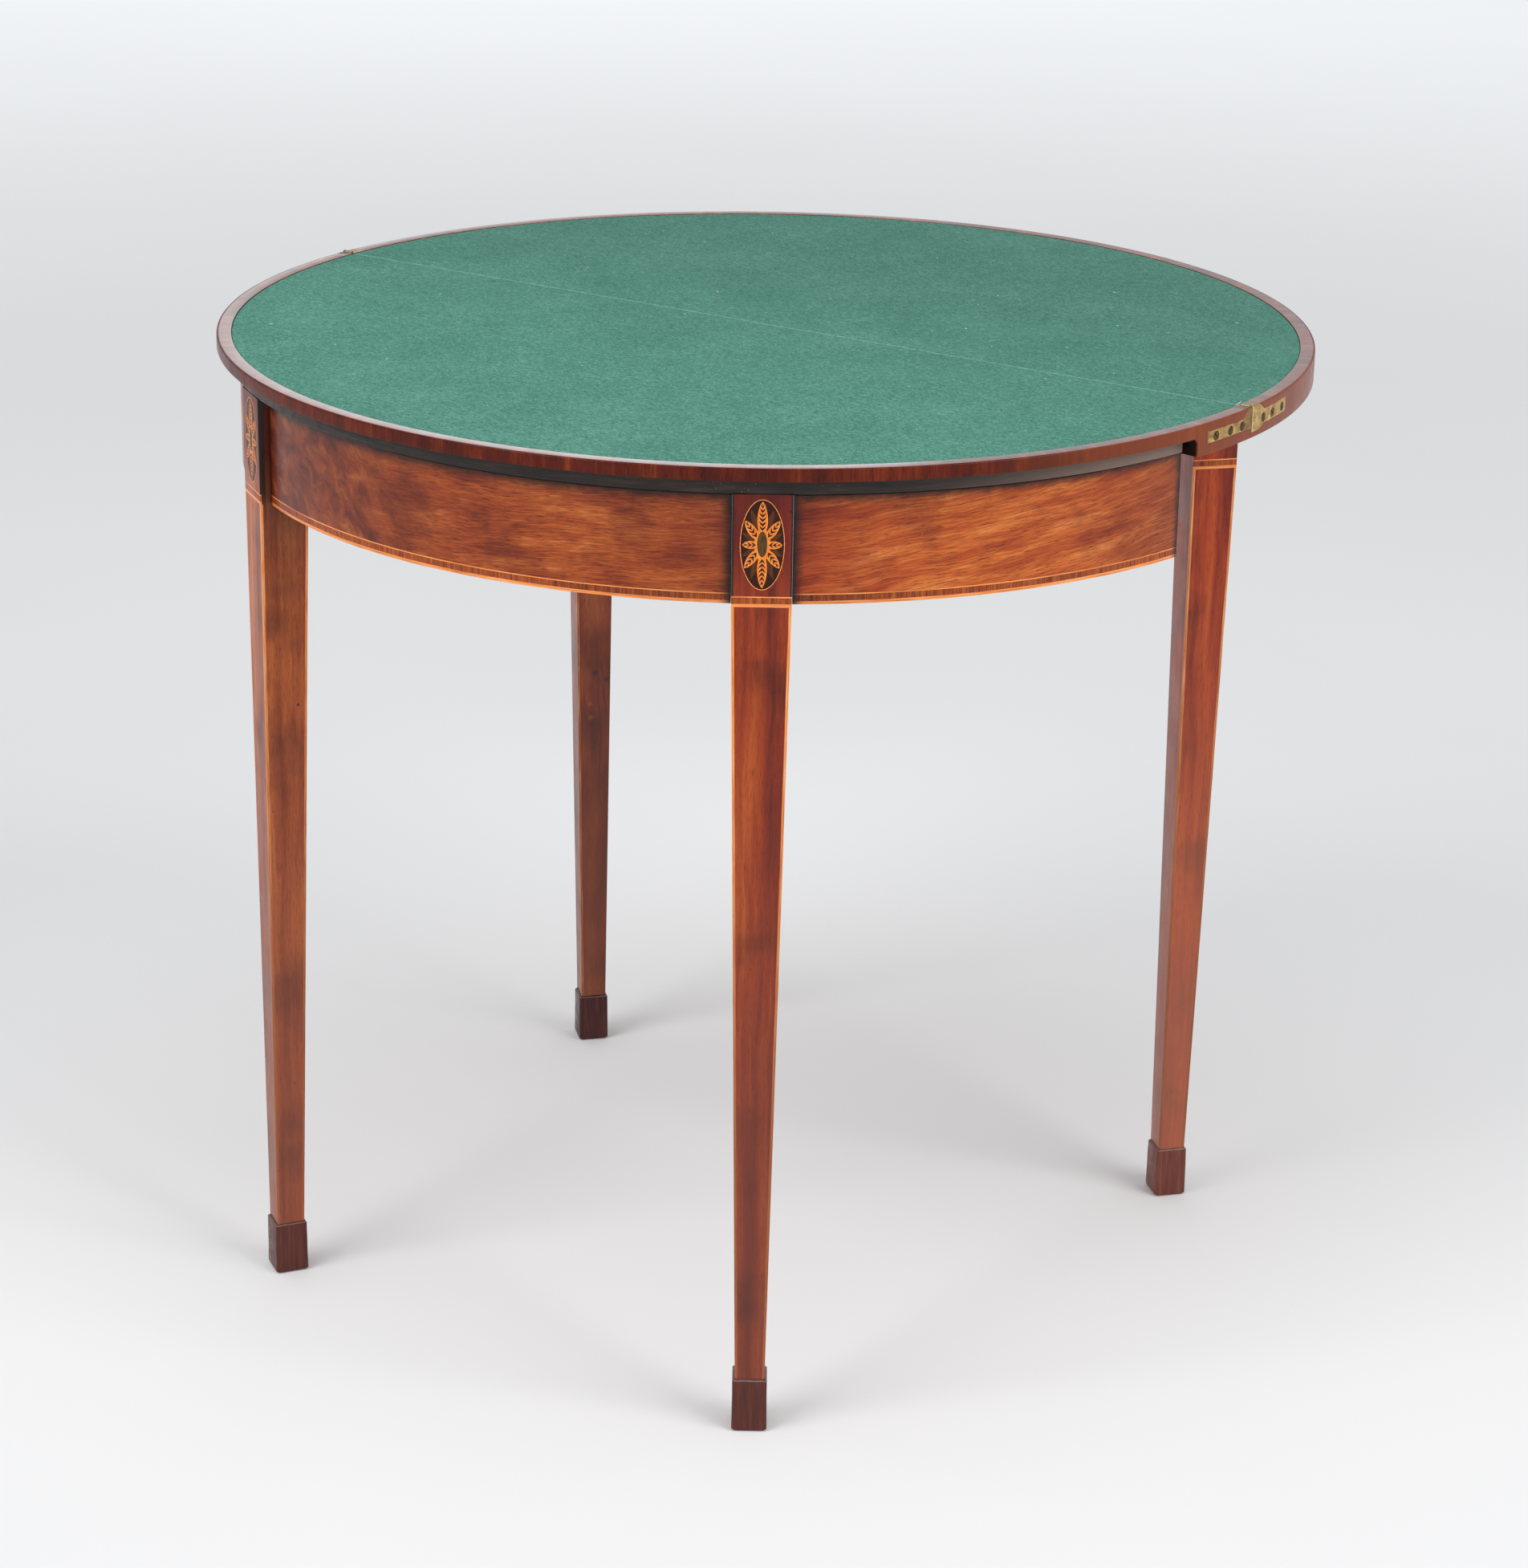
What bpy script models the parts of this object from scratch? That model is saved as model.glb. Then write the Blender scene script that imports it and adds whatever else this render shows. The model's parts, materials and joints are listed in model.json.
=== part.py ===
# Demilune fold-over card table, standing open: the flap is down flat and lies on two swung-out fly legs.
# Metres. X runs along the fold line, -Y is the front, +Z is up, and the origin is on the floor in the middle.

import math

import bmesh
import bpy
from mathutils import Matrix, Vector

# Whole table
TOP_RADIUS = 0.430
TABLE_HEIGHT = 0.7525
LEAF_THICKNESS = 0.0235
CLEARANCE = 0.0003
OVERRUN = 0.004
ARC_STEP_DEGREES = 3.0
SHORTEST_STEP_SHARE = 0.2
MERGE_DISTANCE = 0.00003
SMOOTH_DEGREES = 30.0

# Leaves
RIM_WIDTH = 0.0118
LIPPING_THICKNESS = 0.0013
BORDER_THICKNESS = 0.0015
BAIZE_THICKNESS = 0.0013
LEAF_EDGE_HEIGHT = 0.0097
REBATE_END_GAP = 0.0117
REBATE_CORNER_RADIUS = 0.0050
REBATE_CORNER_STEPS = 5
ROUND_CORNER_SHARE = 0.5
EBONISED_STRIP_THICKNESS = 0.0075
EBONISED_STRIP_RISE = 0.0027

# Leaf hinges, one let into the edge at each end of the fold. The fixed leaf is -1 and the flap 1
PLATE_LENGTH = {-1: 0.0600, 1: 0.0623}
PLATE_TOP_DEPTH = {-1: 0.0066, 1: 0.0053}
PLATE_BOTTOM_DEPTH = {-1: 0.0155, 1: 0.0162}
PLATE_ROOT_DEPTH = {-1: 0.0164, 1: 0.0170}
PLATE_ROOT_LENGTH = {-1: 0.0095, 1: 0.0110}
PLATE_SLOPE_LENGTH = {-1: 0.0025, 1: 0.0110}
PLATE_SLOPE_STEPS = {-1: 1, 1: 6}
TONGUE_LENGTH = {-1: 0.0100, 1: 0.0135}
PLATE_SCREW_DISTANCES = {-1: (0.0147, 0.0310, 0.0500), 1: (0.0190, 0.0355, 0.0550)}
PLATE_THICKNESS = 0.0020
TONGUE_WIDTH = 0.0095
TONGUE_THICKNESS = 0.0016
BARREL_RADIUS = 0.0013
BARREL_END_INSET = 0.0006
BARREL_PIN_RADIUS = 0.0006
KNUCKLE_COUNT = 3
PLATE_SCREW_DEPTH = 0.0114
PLATE_SCREW_HEAD_RADIUS = 0.0034
PLATE_SCREW_HEAD_HEIGHT = 0.0018
PLATE_SCREW_SHANK_RADIUS = 0.0012
PLATE_SCREW_LENGTH = 0.0120

# Frieze, a curved board veneered outside, with a banding let into its lower edge
FRIEZE_INSET = 0.0175
FRIEZE_HEIGHT = 0.0794
FRIEZE_CORE_THICKNESS = 0.0200
VENEER_THICKNESS = 0.0009
BANDING_HEIGHT = 0.0078
FRIEZE_END_SETBACK = 0.0650

# Front legs
FRONT_LEG_DEGREES = 33.7
LEG_PROUD = 0.0075
LEG_HEAD_WIDTH = 0.0425
LEG_HEAD_DEPTH = 0.0375
LEG_END_SIZE = 0.0223
FOOT_HEIGHT = 0.0433
FOOT_TOP_SIZE = 0.0250
FOOT_BASE_SIZE = 0.0244
FOOT_BEVEL = 0.0008
FOOT_TENON_SIZE = 0.0110
FOOT_TENON_LENGTH = 0.0200
STRING_SIZE = 0.0020

# Oval patera in the head of each front leg
PATERA_WIDTH = 0.0314
PATERA_HEIGHT = 0.0658
PATERA_THICKNESS = 0.0012
PATERA_TOP_MARGIN = 0.0035
PATERA_POINTS = 40

# Gates: a fly rail hung on a wooden knuckle joint, with a leg at its end
GATE_AXIS_DISTANCE = 0.0600
GATE_RUNNING_GAP = 0.0005
GATE_RAIL_THICKNESS = 0.0240
GATE_RAIL_HEIGHT = 0.0650
GATE_RAIL_TOP_DROP = 0.0020
GATE_OPEN_DEGREES = {1: 47.6, -1: 42.9}
FLY_LEG_INSET = 0.0060
FLY_LEG_OUTER_TAPER = 0.0100
FLY_LEG_HEAD_SIZE = 0.0365
FINGER_COUNT = 5
COVE_RADIUS = 0.0142
GATE_PIN_RADIUS = 0.0020
RAIL_TENON_LENGTH = 0.0200
RAIL_TENON_THICKNESS = 0.0080
RAIL_TENON_HEIGHT = 0.0460

# Frame inside the frieze
BACK_RAIL_THICKNESS = 0.0160
TOP_SCREW_DEGREES = (-58.0, -14.0, 14.0, 58.0)
TOP_SCREW_TILT_DEGREES = 20.0
TOP_SCREW_HEAD_RADIUS = 0.0040
TOP_SCREW_HEAD_HEIGHT = 0.0026
TOP_SCREW_SHANK_RADIUS = 0.0018
TOP_SCREW_BITE = 0.0120
POCKET_DROP = 0.0280
POCKET_DEPTH = 0.0060

# Facets of round pieces
SCREW_STEPS = 12
PIN_SIDES = 16
KNUCKLE_SIDES = 32

# Heights and places that follow from the sizes above
FRIEZE_RADIUS = TOP_RADIUS - FRIEZE_INSET
REBATE_RADIUS = FRIEZE_RADIUS
LEG_FACE_RADIUS = FRIEZE_RADIUS + LEG_PROUD
FLY_LEG_OUTER_X = TOP_RADIUS - FLY_LEG_INSET
REBATE_END_DEGREES = math.degrees(math.acos((PLATE_LENGTH[-1] + REBATE_END_GAP) / TOP_RADIUS))
LEAF_UNDERSIDE = TABLE_HEIGHT - LEAF_THICKNESS
FRAME_TOP = LEAF_UNDERSIDE - CLEARANCE
FRIEZE_BOTTOM = LEAF_UNDERSIDE - FRIEZE_HEIGHT
BANDING_TOP = FRIEZE_BOTTOM + BANDING_HEIGHT
FOLD_HALF_GAP = CLEARANCE / 2
HINGE_AXIS_HEIGHT = TABLE_HEIGHT + FOLD_HALF_GAP
CORE_RADIUS = TOP_RADIUS - LIPPING_THICKNESS - CLEARANCE
CORE_TOP = TABLE_HEIGHT - BORDER_THICKNESS - CLEARANCE
BAIZE_RADIUS = TOP_RADIUS - RIM_WIDTH
REBATE_CEILING = TABLE_HEIGHT - LEAF_EDGE_HEIGHT
EBONISED_STRIP_BOTTOM = LEAF_UNDERSIDE + EBONISED_STRIP_RISE
FRONT_LEG_TOP = EBONISED_STRIP_BOTTOM - CLEARANCE
FRIEZE_CORE_OUTER = FRIEZE_RADIUS - VENEER_THICKNESS - CLEARANCE
FRIEZE_CORE_INNER = FRIEZE_CORE_OUTER - FRIEZE_CORE_THICKNESS
GATE_FRONT = -FRIEZE_END_SETBACK + GATE_RUNNING_GAP
GATE_AXIS_Y = GATE_FRONT + GATE_RAIL_THICKNESS / 2
GATE_RAIL_TOP = LEAF_UNDERSIDE - GATE_RAIL_TOP_DROP
GATE_RAIL_BOTTOM = GATE_RAIL_TOP - GATE_RAIL_HEIGHT

COLOURS = {
    "mahogany": ((0.270, 0.070, 0.026), 0.28, 0.0),
    "flame_mahogany": ((0.300, 0.080, 0.028), 0.28, 0.0),
    "crossbanding": ((0.330, 0.085, 0.030), 0.28, 0.0),
    "boxwood": ((0.720, 0.360, 0.110), 0.35, 0.0),
    "ebonised": ((0.030, 0.026, 0.024), 0.40, 0.0),
    "satinwood": ((0.420, 0.170, 0.050), 0.35, 0.0),
    "dark_mahogany": ((0.090, 0.026, 0.016), 0.35, 0.0),
    "baize": ((0.045, 0.200, 0.160), 0.95, 0.0),
    "brass": ((0.480, 0.330, 0.110), 0.42, 1.0),
    "steel": ((0.160, 0.140, 0.120), 0.50, 1.0),
    "pine": ((0.480, 0.280, 0.120), 0.70, 0.0),
    "beech": ((0.420, 0.230, 0.110), 0.65, 0.0),
}


def clear_scene():
    for old in list(bpy.data.objects):
        bpy.data.objects.remove(old, do_unlink=True)


def new_collection(name, hidden=False):
    made = bpy.data.collections.new(name)
    bpy.context.scene.collection.children.link(made)
    made.hide_render = hidden
    return made


def material(name):
    found = bpy.data.materials.get(name)
    if found:
        return found
    colour, roughness, metallic = COLOURS[name]
    made = bpy.data.materials.new(name)
    made.use_nodes = True
    shader = made.node_tree.nodes["Principled BSDF"]
    shader.inputs["Base Color"].default_value = (*colour, 1.0)
    shader.inputs["Roughness"].default_value = roughness
    shader.inputs["Metallic"].default_value = metallic
    return made


def place_object(name, data, parent=None):
    made = bpy.data.objects.new(name, data)
    table_parts.objects.link(made)
    made.parent = parent
    return made


def finish(piece, material_name):
    """Give a piece its wood or metal, shaded smooth only where its faces nearly meet flat."""
    piece.data.materials.clear()
    piece.data.materials.append(material(material_name))
    piece.data.shade_smooth()
    piece.data.set_sharp_from_angle(angle=math.radians(SMOOTH_DEGREES))
    return piece


def as_guide(piece):
    """Turn a piece into a cutter, which is drawn as wire and left out of the table."""
    for holder in list(piece.users_collection):
        holder.objects.unlink(piece)
    guides.objects.link(piece)
    piece.hide_render = True
    piece.display_type = "WIRE"
    return piece


def add_boolean(piece, other, operation):
    change = piece.modifiers.new(other.name, "BOOLEAN")
    change.operation = operation
    change.solver = "EXACT"
    change.object = as_guide(other)


def cut(piece, *others):
    for other in others:
        add_boolean(piece, other, "DIFFERENCE")
    return piece


def join(piece, *others):
    for other in others:
        add_boolean(piece, other, "UNION")
    return piece


def empty(name, location, turn_degrees=0.0):
    made = bpy.data.objects.new(name, None)
    guides.objects.link(made)
    made.location = location
    made.rotation_euler.z = math.radians(turn_degrees)
    return made


def evaluated_mesh(piece):
    bpy.context.view_layer.update()
    scene_state = bpy.context.evaluated_depsgraph_get()
    return bpy.data.meshes.new_from_object(piece.evaluated_get(scene_state))


def slab(name, outline, low, high, axis="Z", parent=None):
    """Extrude a flat outline from low to high: (y, z) points along X, (x, z) along Y, or (x, y) along Z."""
    flat = bpy.data.curves.new(name, "CURVE")
    flat.dimensions = "2D"
    flat.fill_mode = "BOTH"
    flat.extrude = (high - low) / 2
    spline = flat.splines.new("POLY")
    spline.points.add(len(outline) - 1)
    for point, (u, v) in zip(spline.points, outline):
        point.co = (u, v, 0, 1)
    spline.use_cyclic_u = True
    guide = place_object(name + "_outline", flat)
    data = evaluated_mesh(guide)
    bpy.data.objects.remove(guide, do_unlink=True)
    data.name = name
    turn = {
        "X": Matrix(((0, 0, 1, 0), (1, 0, 0, 0), (0, 1, 0, 0), (0, 0, 0, 1))),
        "Y": Matrix(((1, 0, 0, 0), (0, 0, 1, 0), (0, 1, 0, 0), (0, 0, 0, 1))),
        "Z": Matrix.Identity(4),
    }[axis]
    data.transform(turn)
    shape = bmesh.new()
    shape.from_mesh(data)
    bmesh.ops.remove_doubles(shape, verts=shape.verts, dist=MERGE_DISTANCE)
    bmesh.ops.recalc_face_normals(shape, faces=shape.faces)
    shape.to_mesh(data)
    shape.free()
    made = place_object(name, data, parent)
    made.location["XYZ".index(axis)] = (low + high) / 2
    return made


def box(name, low, high, parent=None):
    shape = bmesh.new()
    bmesh.ops.create_cube(shape, size=1.0)
    bmesh.ops.scale(shape, vec=[b - a for a, b in zip(low, high)], verts=shape.verts)
    data = bpy.data.meshes.new(name)
    shape.to_mesh(data)
    shape.free()
    made = place_object(name, data, parent)
    made.location = [(a + b) / 2 for a, b in zip(low, high)]
    return made


def rod(name, radius, start, end, sides, parent=None):
    """A round bar between two points."""
    start, end = Vector(start), Vector(end)
    shape = bmesh.new()
    bmesh.ops.create_cone(shape, cap_ends=True, segments=sides, radius1=radius, radius2=radius,
                          depth=(end - start).length)
    data = bpy.data.meshes.new(name)
    shape.to_mesh(data)
    shape.free()
    made = place_object(name, data, parent)
    made.location = (start + end) / 2
    made.rotation_mode = "QUATERNION"
    made.rotation_quaternion = (end - start).to_track_quat("Z", "Y")
    return made


def set_ring(verts, section):
    """Move the four corners of a bar's end to a section (z, x low, x high, y low, y high)."""
    z, x_low, x_high, y_low, y_high = section
    middle = sum((vert.co for vert in verts), Vector()) / len(verts)
    for vert in verts:
        x = x_low if vert.co.x < middle.x else x_high
        y = y_low if vert.co.y < middle.y else y_high
        vert.co = (x, y, z)


def tapered_bar(name, sections, parent=None):
    """A four-sided bar through sections (z, x low, x high, y low, y high), from the top down."""
    shape = bmesh.new()
    bmesh.ops.create_cube(shape, size=1.0)
    upper = max(shape.faces, key=lambda face: face.calc_center_median().z)
    lower = min(shape.faces, key=lambda face: face.calc_center_median().z)
    set_ring(upper.verts, sections[0])
    set_ring(lower.verts, sections[1])
    for section in sections[2:]:
        lower = bmesh.ops.extrude_discrete_faces(shape, faces=[lower])["faces"][0]
        set_ring(lower.verts, section)
    data = bpy.data.meshes.new(name)
    shape.normal_update()
    shape.to_mesh(data)
    shape.free()
    return place_object(name, data, parent)


def turned(name, profile, start, direction):
    """A profile of (radius, distance along) turned about its axis, which leaves start in a direction."""
    data = bpy.data.meshes.new(name)
    points = [(radius, 0, -along) for radius, along in profile]
    data.from_pydata(points, [(i, i + 1) for i in range(len(points) - 1)], [])
    made = place_object(name, data)
    made.location = start
    made.rotation_mode = "QUATERNION"
    made.rotation_quaternion = (-Vector(direction)).to_track_quat("Z", "Y")
    turn = made.modifiers.new("Turn", "SCREW")
    turn.steps = SCREW_STEPS
    turn.render_steps = SCREW_STEPS
    turn.use_merge_vertices = True
    turn.merge_threshold = MERGE_DISTANCE
    return made


def screw(name, start, direction, head_radius, head_height, shank_radius, length):
    """A countersunk wood screw whose flat head faces back along its direction."""
    profile = [(0, 0), (head_radius, 0), (shank_radius, head_height),
               (shank_radius, length - 2 * shank_radius), (0, length)]
    return turned(name, profile, start, direction)


def screw_hole(name, start, direction, head_radius, head_height, shank_radius, length, recess):
    """The hole that a screw leaves, wider by the clearance, and open for a recess behind its head."""
    grown_head = head_radius + CLEARANCE
    grown_shank = shank_radius + CLEARANCE
    profile = [(0, -recess), (grown_head, -recess), (grown_head, CLEARANCE),
               (grown_shank, head_height + CLEARANCE), (grown_shank, length + CLEARANCE),
               (0, length + 2 * CLEARANCE)]
    return turned(name, profile, start, direction)


def arc(radius, start, end):
    """Points on a circle about the table's centre. Angles run from the front, towards +X, in degrees."""
    shortest = ARC_STEP_DEGREES * SHORTEST_STEP_SHARE
    first, last = math.ceil(start / ARC_STEP_DEGREES), math.floor(end / ARC_STEP_DEGREES)
    whole = [ARC_STEP_DEGREES * step for step in range(first, last + 1)]
    between = [angle for angle in whole if start + shortest < angle < end - shortest]
    return [on_circle(radius, angle) for angle in (start, *between, end)]


def on_circle(radius, degrees, height=None):
    x = radius * math.sin(math.radians(degrees))
    y = -radius * math.cos(math.radians(degrees))
    return (x, y) if height is None else (x, y, height)


def band_outline(outer, inner, start_at, end_at):
    """A curved band between two radii. start_at and end_at give the end angles at a radius."""
    outside = arc(outer, start_at(outer), end_at(outer))
    inside = arc(inner, start_at(inner), end_at(inner))
    return outside + inside[::-1]


def angle_at_setback(setback):
    """The angle, at any radius, where a line parallel to the fold crosses the circle."""
    return lambda radius: math.degrees(math.acos(setback / radius))


def mirrored(outline, leaf):
    """The fixed leaf lies at -Y (leaf -1) and the flap at +Y (leaf 1)."""
    return [(x, y * -leaf) for x, y in outline]


def half_band(outer, inner, leaf):
    end_at = angle_at_setback(FOLD_HALF_GAP)
    return mirrored(band_outline(outer, inner, lambda radius: -end_at(radius), end_at), leaf)


def half_disc(radius, leaf):
    end = angle_at_setback(FOLD_HALF_GAP)(radius)
    return mirrored(arc(radius, -end, end), leaf)


def rebate_cutter(name, inner):
    """The rebate round the fixed leaf's lower edge, whose upper corner is rounded at each end."""
    end = REBATE_END_DEGREES
    outline = band_outline(TOP_RADIUS + OVERRUN, inner, lambda radius: -end, lambda radius: end)
    cutter = slab(name, outline, LEAF_UNDERSIDE - OVERRUN, REBATE_CEILING)
    last_step = end - ARC_STEP_DEGREES * SHORTEST_STEP_SHARE

    def at_upper_end(vert):
        return vert.co.z > 0 and math.degrees(math.atan2(abs(vert.co.x), -vert.co.y)) > last_step

    shape = bmesh.new()
    shape.from_mesh(cutter.data)
    bmesh.ops.dissolve_limit(shape, angle_limit=math.radians(SHORTEST_STEP_SHARE), verts=shape.verts,
                             edges=shape.edges)
    corners = [edge for edge in shape.edges if all(at_upper_end(vert) for vert in edge.verts)]
    bmesh.ops.bevel(shape, geom=corners, offset=REBATE_CORNER_RADIUS, segments=REBATE_CORNER_STEPS,
                    profile=ROUND_CORNER_SHARE, affect="EDGES")
    shape.to_mesh(cutter.data)
    shape.free()
    return cutter


def plate_elevation(leaf, grow):
    """A hinge plate seen from the side: a strip that widens up to the surface at the fold. (y, z) points.

    grow is the clearance round it, for the recess, which also runs on above and past the fold."""
    root, slope = PLATE_ROOT_LENGTH[leaf] + grow, PLATE_SLOPE_LENGTH[leaf]
    end = PLATE_LENGTH[leaf] + grow
    strip_top, strip_bottom = PLATE_TOP_DEPTH[leaf] - grow, PLATE_BOTTOM_DEPTH[leaf] + grow
    root_bottom = PLATE_ROOT_DEPTH[leaf] + grow
    at_fold = -OVERRUN if grow else FOLD_HALF_GAP
    root_top = -OVERRUN if grow else 0
    upper, lower = [(at_fold, root_top)], [(at_fold, root_bottom)]
    for step in range(PLATE_SLOPE_STEPS[leaf] + 1):
        share = step / PLATE_SLOPE_STEPS[leaf]
        eased = share * share * (3 - 2 * share)
        distance = root + slope * share
        upper.append((distance, root_top + (strip_top - root_top) * eased))
        lower.append((distance, root_bottom + (strip_bottom - root_bottom) * eased))
    outline = upper + [(end, strip_top), (end, strip_bottom)] + lower[::-1]
    return [(leaf * distance, TABLE_HEIGHT - depth) for distance, depth in outline]


def plate_shape(name, side, leaf, grow):
    """The curved strip and the tongue of a hinge plate, or its recess when grown by the clearance."""
    inner = TOP_RADIUS - PLATE_THICKNESS - grow
    outer = TOP_RADIUS + (OVERRUN if grow else 0)
    near = -CLEARANCE if grow else FOLD_HALF_GAP
    far_degrees = math.degrees(math.acos((PLATE_LENGTH[leaf] + OVERRUN) / TOP_RADIUS))
    outline = band_outline(outer, inner, lambda radius: far_degrees, angle_at_setback(near))
    outline = [(side * x, y) for x, y in mirrored(outline, leaf)]
    high = TABLE_HEIGHT + (OVERRUN if grow else 0)
    strip = slab(name, outline, TABLE_HEIGHT - PLATE_ROOT_DEPTH[leaf] - OVERRUN, high)
    reach = TONGUE_WIDTH + OVERRUN
    view = slab(name + "_view", plate_elevation(leaf, grow), side * TOP_RADIUS - reach,
                side * TOP_RADIUS + reach, axis="X")
    add_boolean(strip, view, "INTERSECT")
    x_ends = sorted((side * (TOP_RADIUS - TONGUE_WIDTH - grow), side * (TOP_RADIUS - PLATE_THICKNESS / 2)))
    y_ends = sorted((leaf * near, leaf * (TONGUE_LENGTH[leaf] + grow)))
    z_ends = (TABLE_HEIGHT - TONGUE_THICKNESS - grow, high)
    lows, highs = zip(x_ends, y_ends, z_ends)
    return join(strip, box(name + "_tongue", lows, highs))


def knuckle_span(side, index):
    """Where one of a leaf hinge's knuckles lies along X, nearest the table's middle first."""
    pitch = (TONGUE_WIDTH - BARREL_END_INSET) / KNUCKLE_COUNT
    near = TOP_RADIUS - TONGUE_WIDTH + index * pitch
    return sorted((side * near, side * (near + pitch)))


def barrel_rod(name, radius, x_ends, spare=0):
    """A round bar on the fold's axis between two places on X, made longer or shorter at both ends by spare."""
    start, end = ((x, 0, HINGE_AXIS_HEIGHT) for x in (x_ends[0] - spare, x_ends[1] + spare))
    return rod(name, radius, start, end, PIN_SIDES)


def tongue_span(side):
    return sorted((side * (TOP_RADIUS - TONGUE_WIDTH), side * TOP_RADIUS))


def plate_screw_places(side, leaf):
    """Where each screw of a hinge plate starts, just under the plate's curved face, and its way in."""
    for distance in PLATE_SCREW_DISTANCES[leaf]:
        x, y = mirrored([on_circle(1, math.degrees(math.acos(distance / TOP_RADIUS)))], leaf)[0]
        outward = Vector((side * x, y, 0))
        yield outward * (TOP_RADIUS - CLEARANCE) + Vector((0, 0, TABLE_HEIGHT - PLATE_SCREW_DEPTH)), -outward


def plate_screw_sizes():
    return PLATE_SCREW_HEAD_RADIUS, PLATE_SCREW_HEAD_HEIGHT, PLATE_SCREW_SHANK_RADIUS, PLATE_SCREW_LENGTH


def hinge_name(side, leaf):
    return f"hinge_{'right' if side > 0 else 'left'}_{'flap' if leaf > 0 else 'fixed'}"


def screw_holes(name, side, leaf):
    return [screw_hole(f"{name}_{index}", *place, *plate_screw_sizes(), OVERRUN)
            for index, place in enumerate(plate_screw_places(side, leaf))]


def build_hinge_plate(side, leaf):
    """A brass plate with its own knuckles, bored for the pin and drilled for its screws."""
    name = hinge_name(side, leaf)
    plate = plate_shape(name + "_plate", side, leaf, 0)
    for index in range(KNUCKLE_COUNT):
        span = knuckle_span(side, index)
        if (index % 2 == 1) == (leaf > 0):
            join(plate, barrel_rod(f"{name}_knuckle_{index}", BARREL_RADIUS, span, -FOLD_HALF_GAP))
        else:
            cut(plate, barrel_rod(f"{name}_room_{index}", BARREL_RADIUS + CLEARANCE, span, FOLD_HALF_GAP))
    cut(plate, barrel_rod(name + "_bore", BARREL_PIN_RADIUS + CLEARANCE, tongue_span(side), OVERRUN))
    cut(plate, *screw_holes(name + "_plate_hole", side, leaf))
    finish(plate, "brass")
    for index, place in enumerate(plate_screw_places(side, leaf), 1):
        finish(screw(f"{name}_screw_{index}", *place, *plate_screw_sizes()), "steel")


def leaf_recesses(leaf):
    """What the two hinges take out of a leaf's surface and edge, and their screw holes."""
    lets, holes = [], []
    for side in (-1, 1):
        name = hinge_name(side, leaf) + "_recess"
        lets.append(plate_shape(name, side, leaf, CLEARANCE))
        lets.append(barrel_rod(name + "_barrel", BARREL_RADIUS + CLEARANCE, tongue_span(side), CLEARANCE))
        holes += screw_holes(name + "_hole", side, leaf)
    return lets, holes


def build_leaf(leaf):
    """One half of the top: a solid leaf, its edge lipping, the border round the cloth, and the cloth."""
    name = "flap" if leaf > 0 else "fixed_leaf"
    core = slab("flap_leaf" if leaf > 0 else name, half_disc(CORE_RADIUS, leaf), LEAF_UNDERSIDE, CORE_TOP)
    lipping = slab(name + "_lipping", half_band(TOP_RADIUS, TOP_RADIUS - LIPPING_THICKNESS, leaf),
                   LEAF_UNDERSIDE, TABLE_HEIGHT)
    border_low = TABLE_HEIGHT - BORDER_THICKNESS
    border = slab(name + "_border", half_band(CORE_RADIUS, BAIZE_RADIUS + CLEARANCE, leaf),
                  border_low, TABLE_HEIGHT)
    cloth = slab(name + "_baize", half_disc(BAIZE_RADIUS, leaf), border_low, border_low + BAIZE_THICKNESS)
    lets, holes = leaf_recesses(leaf)
    cut(core, *lets, *holes)
    cut(lipping, *lets)
    cut(border, *lets)
    if leaf < 0:
        cut(core, rebate_cutter("leaf_rebate", REBATE_RADIUS))
        cut(lipping, rebate_cutter("lipping_rebate", TOP_RADIUS - LIPPING_THICKNESS - OVERRUN))
    finish(core, "mahogany")
    finish(lipping, "crossbanding")
    finish(border, "crossbanding")
    finish(cloth, "baize")
    return core


def build_ebonised_strip():
    """The black strip in the rebate, which the front legs' heads come up to."""
    end = REBATE_END_DEGREES - math.degrees(REBATE_CORNER_RADIUS / REBATE_RADIUS)
    inner = REBATE_RADIUS + CLEARANCE
    outline = band_outline(REBATE_RADIUS + EBONISED_STRIP_THICKNESS, inner, lambda radius: -end,
                           lambda radius: end)
    finish(slab("ebonised_strip", outline, EBONISED_STRIP_BOTTOM, REBATE_CEILING - CLEARANCE), "ebonised")


def build_leaf_hinges():
    for side in (-1, 1):
        build_hinge_plate(side, -1)
        build_hinge_plate(side, 1)
        spans = [knuckle_span(side, index) for index in (0, KNUCKLE_COUNT - 1)]
        x_ends = (min(spans)[0], max(spans)[1])
        name = f"hinge_{'right' if side > 0 else 'left'}_pin"
        finish(barrel_rod(name, BARREL_PIN_RADIUS, x_ends, -FOLD_HALF_GAP), "steel")


def leg_side_angle(leg_degrees, towards):
    """The angle, at any radius, where the side of a front leg crosses the circle."""
    half = LEG_HEAD_WIDTH / 2 + CLEARANCE
    return lambda radius: leg_degrees + towards * math.degrees(math.asin(half / radius))


def frieze_ends():
    """Each length of frieze, with the angles of its two ends at any radius."""
    back = angle_at_setback(FRIEZE_END_SETBACK)
    return {
        "left": (lambda radius: -back(radius), leg_side_angle(-FRONT_LEG_DEGREES, -1)),
        "front": (leg_side_angle(-FRONT_LEG_DEGREES, 1), leg_side_angle(FRONT_LEG_DEGREES, -1)),
        "right": (leg_side_angle(FRONT_LEG_DEGREES, 1), back),
    }


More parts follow.
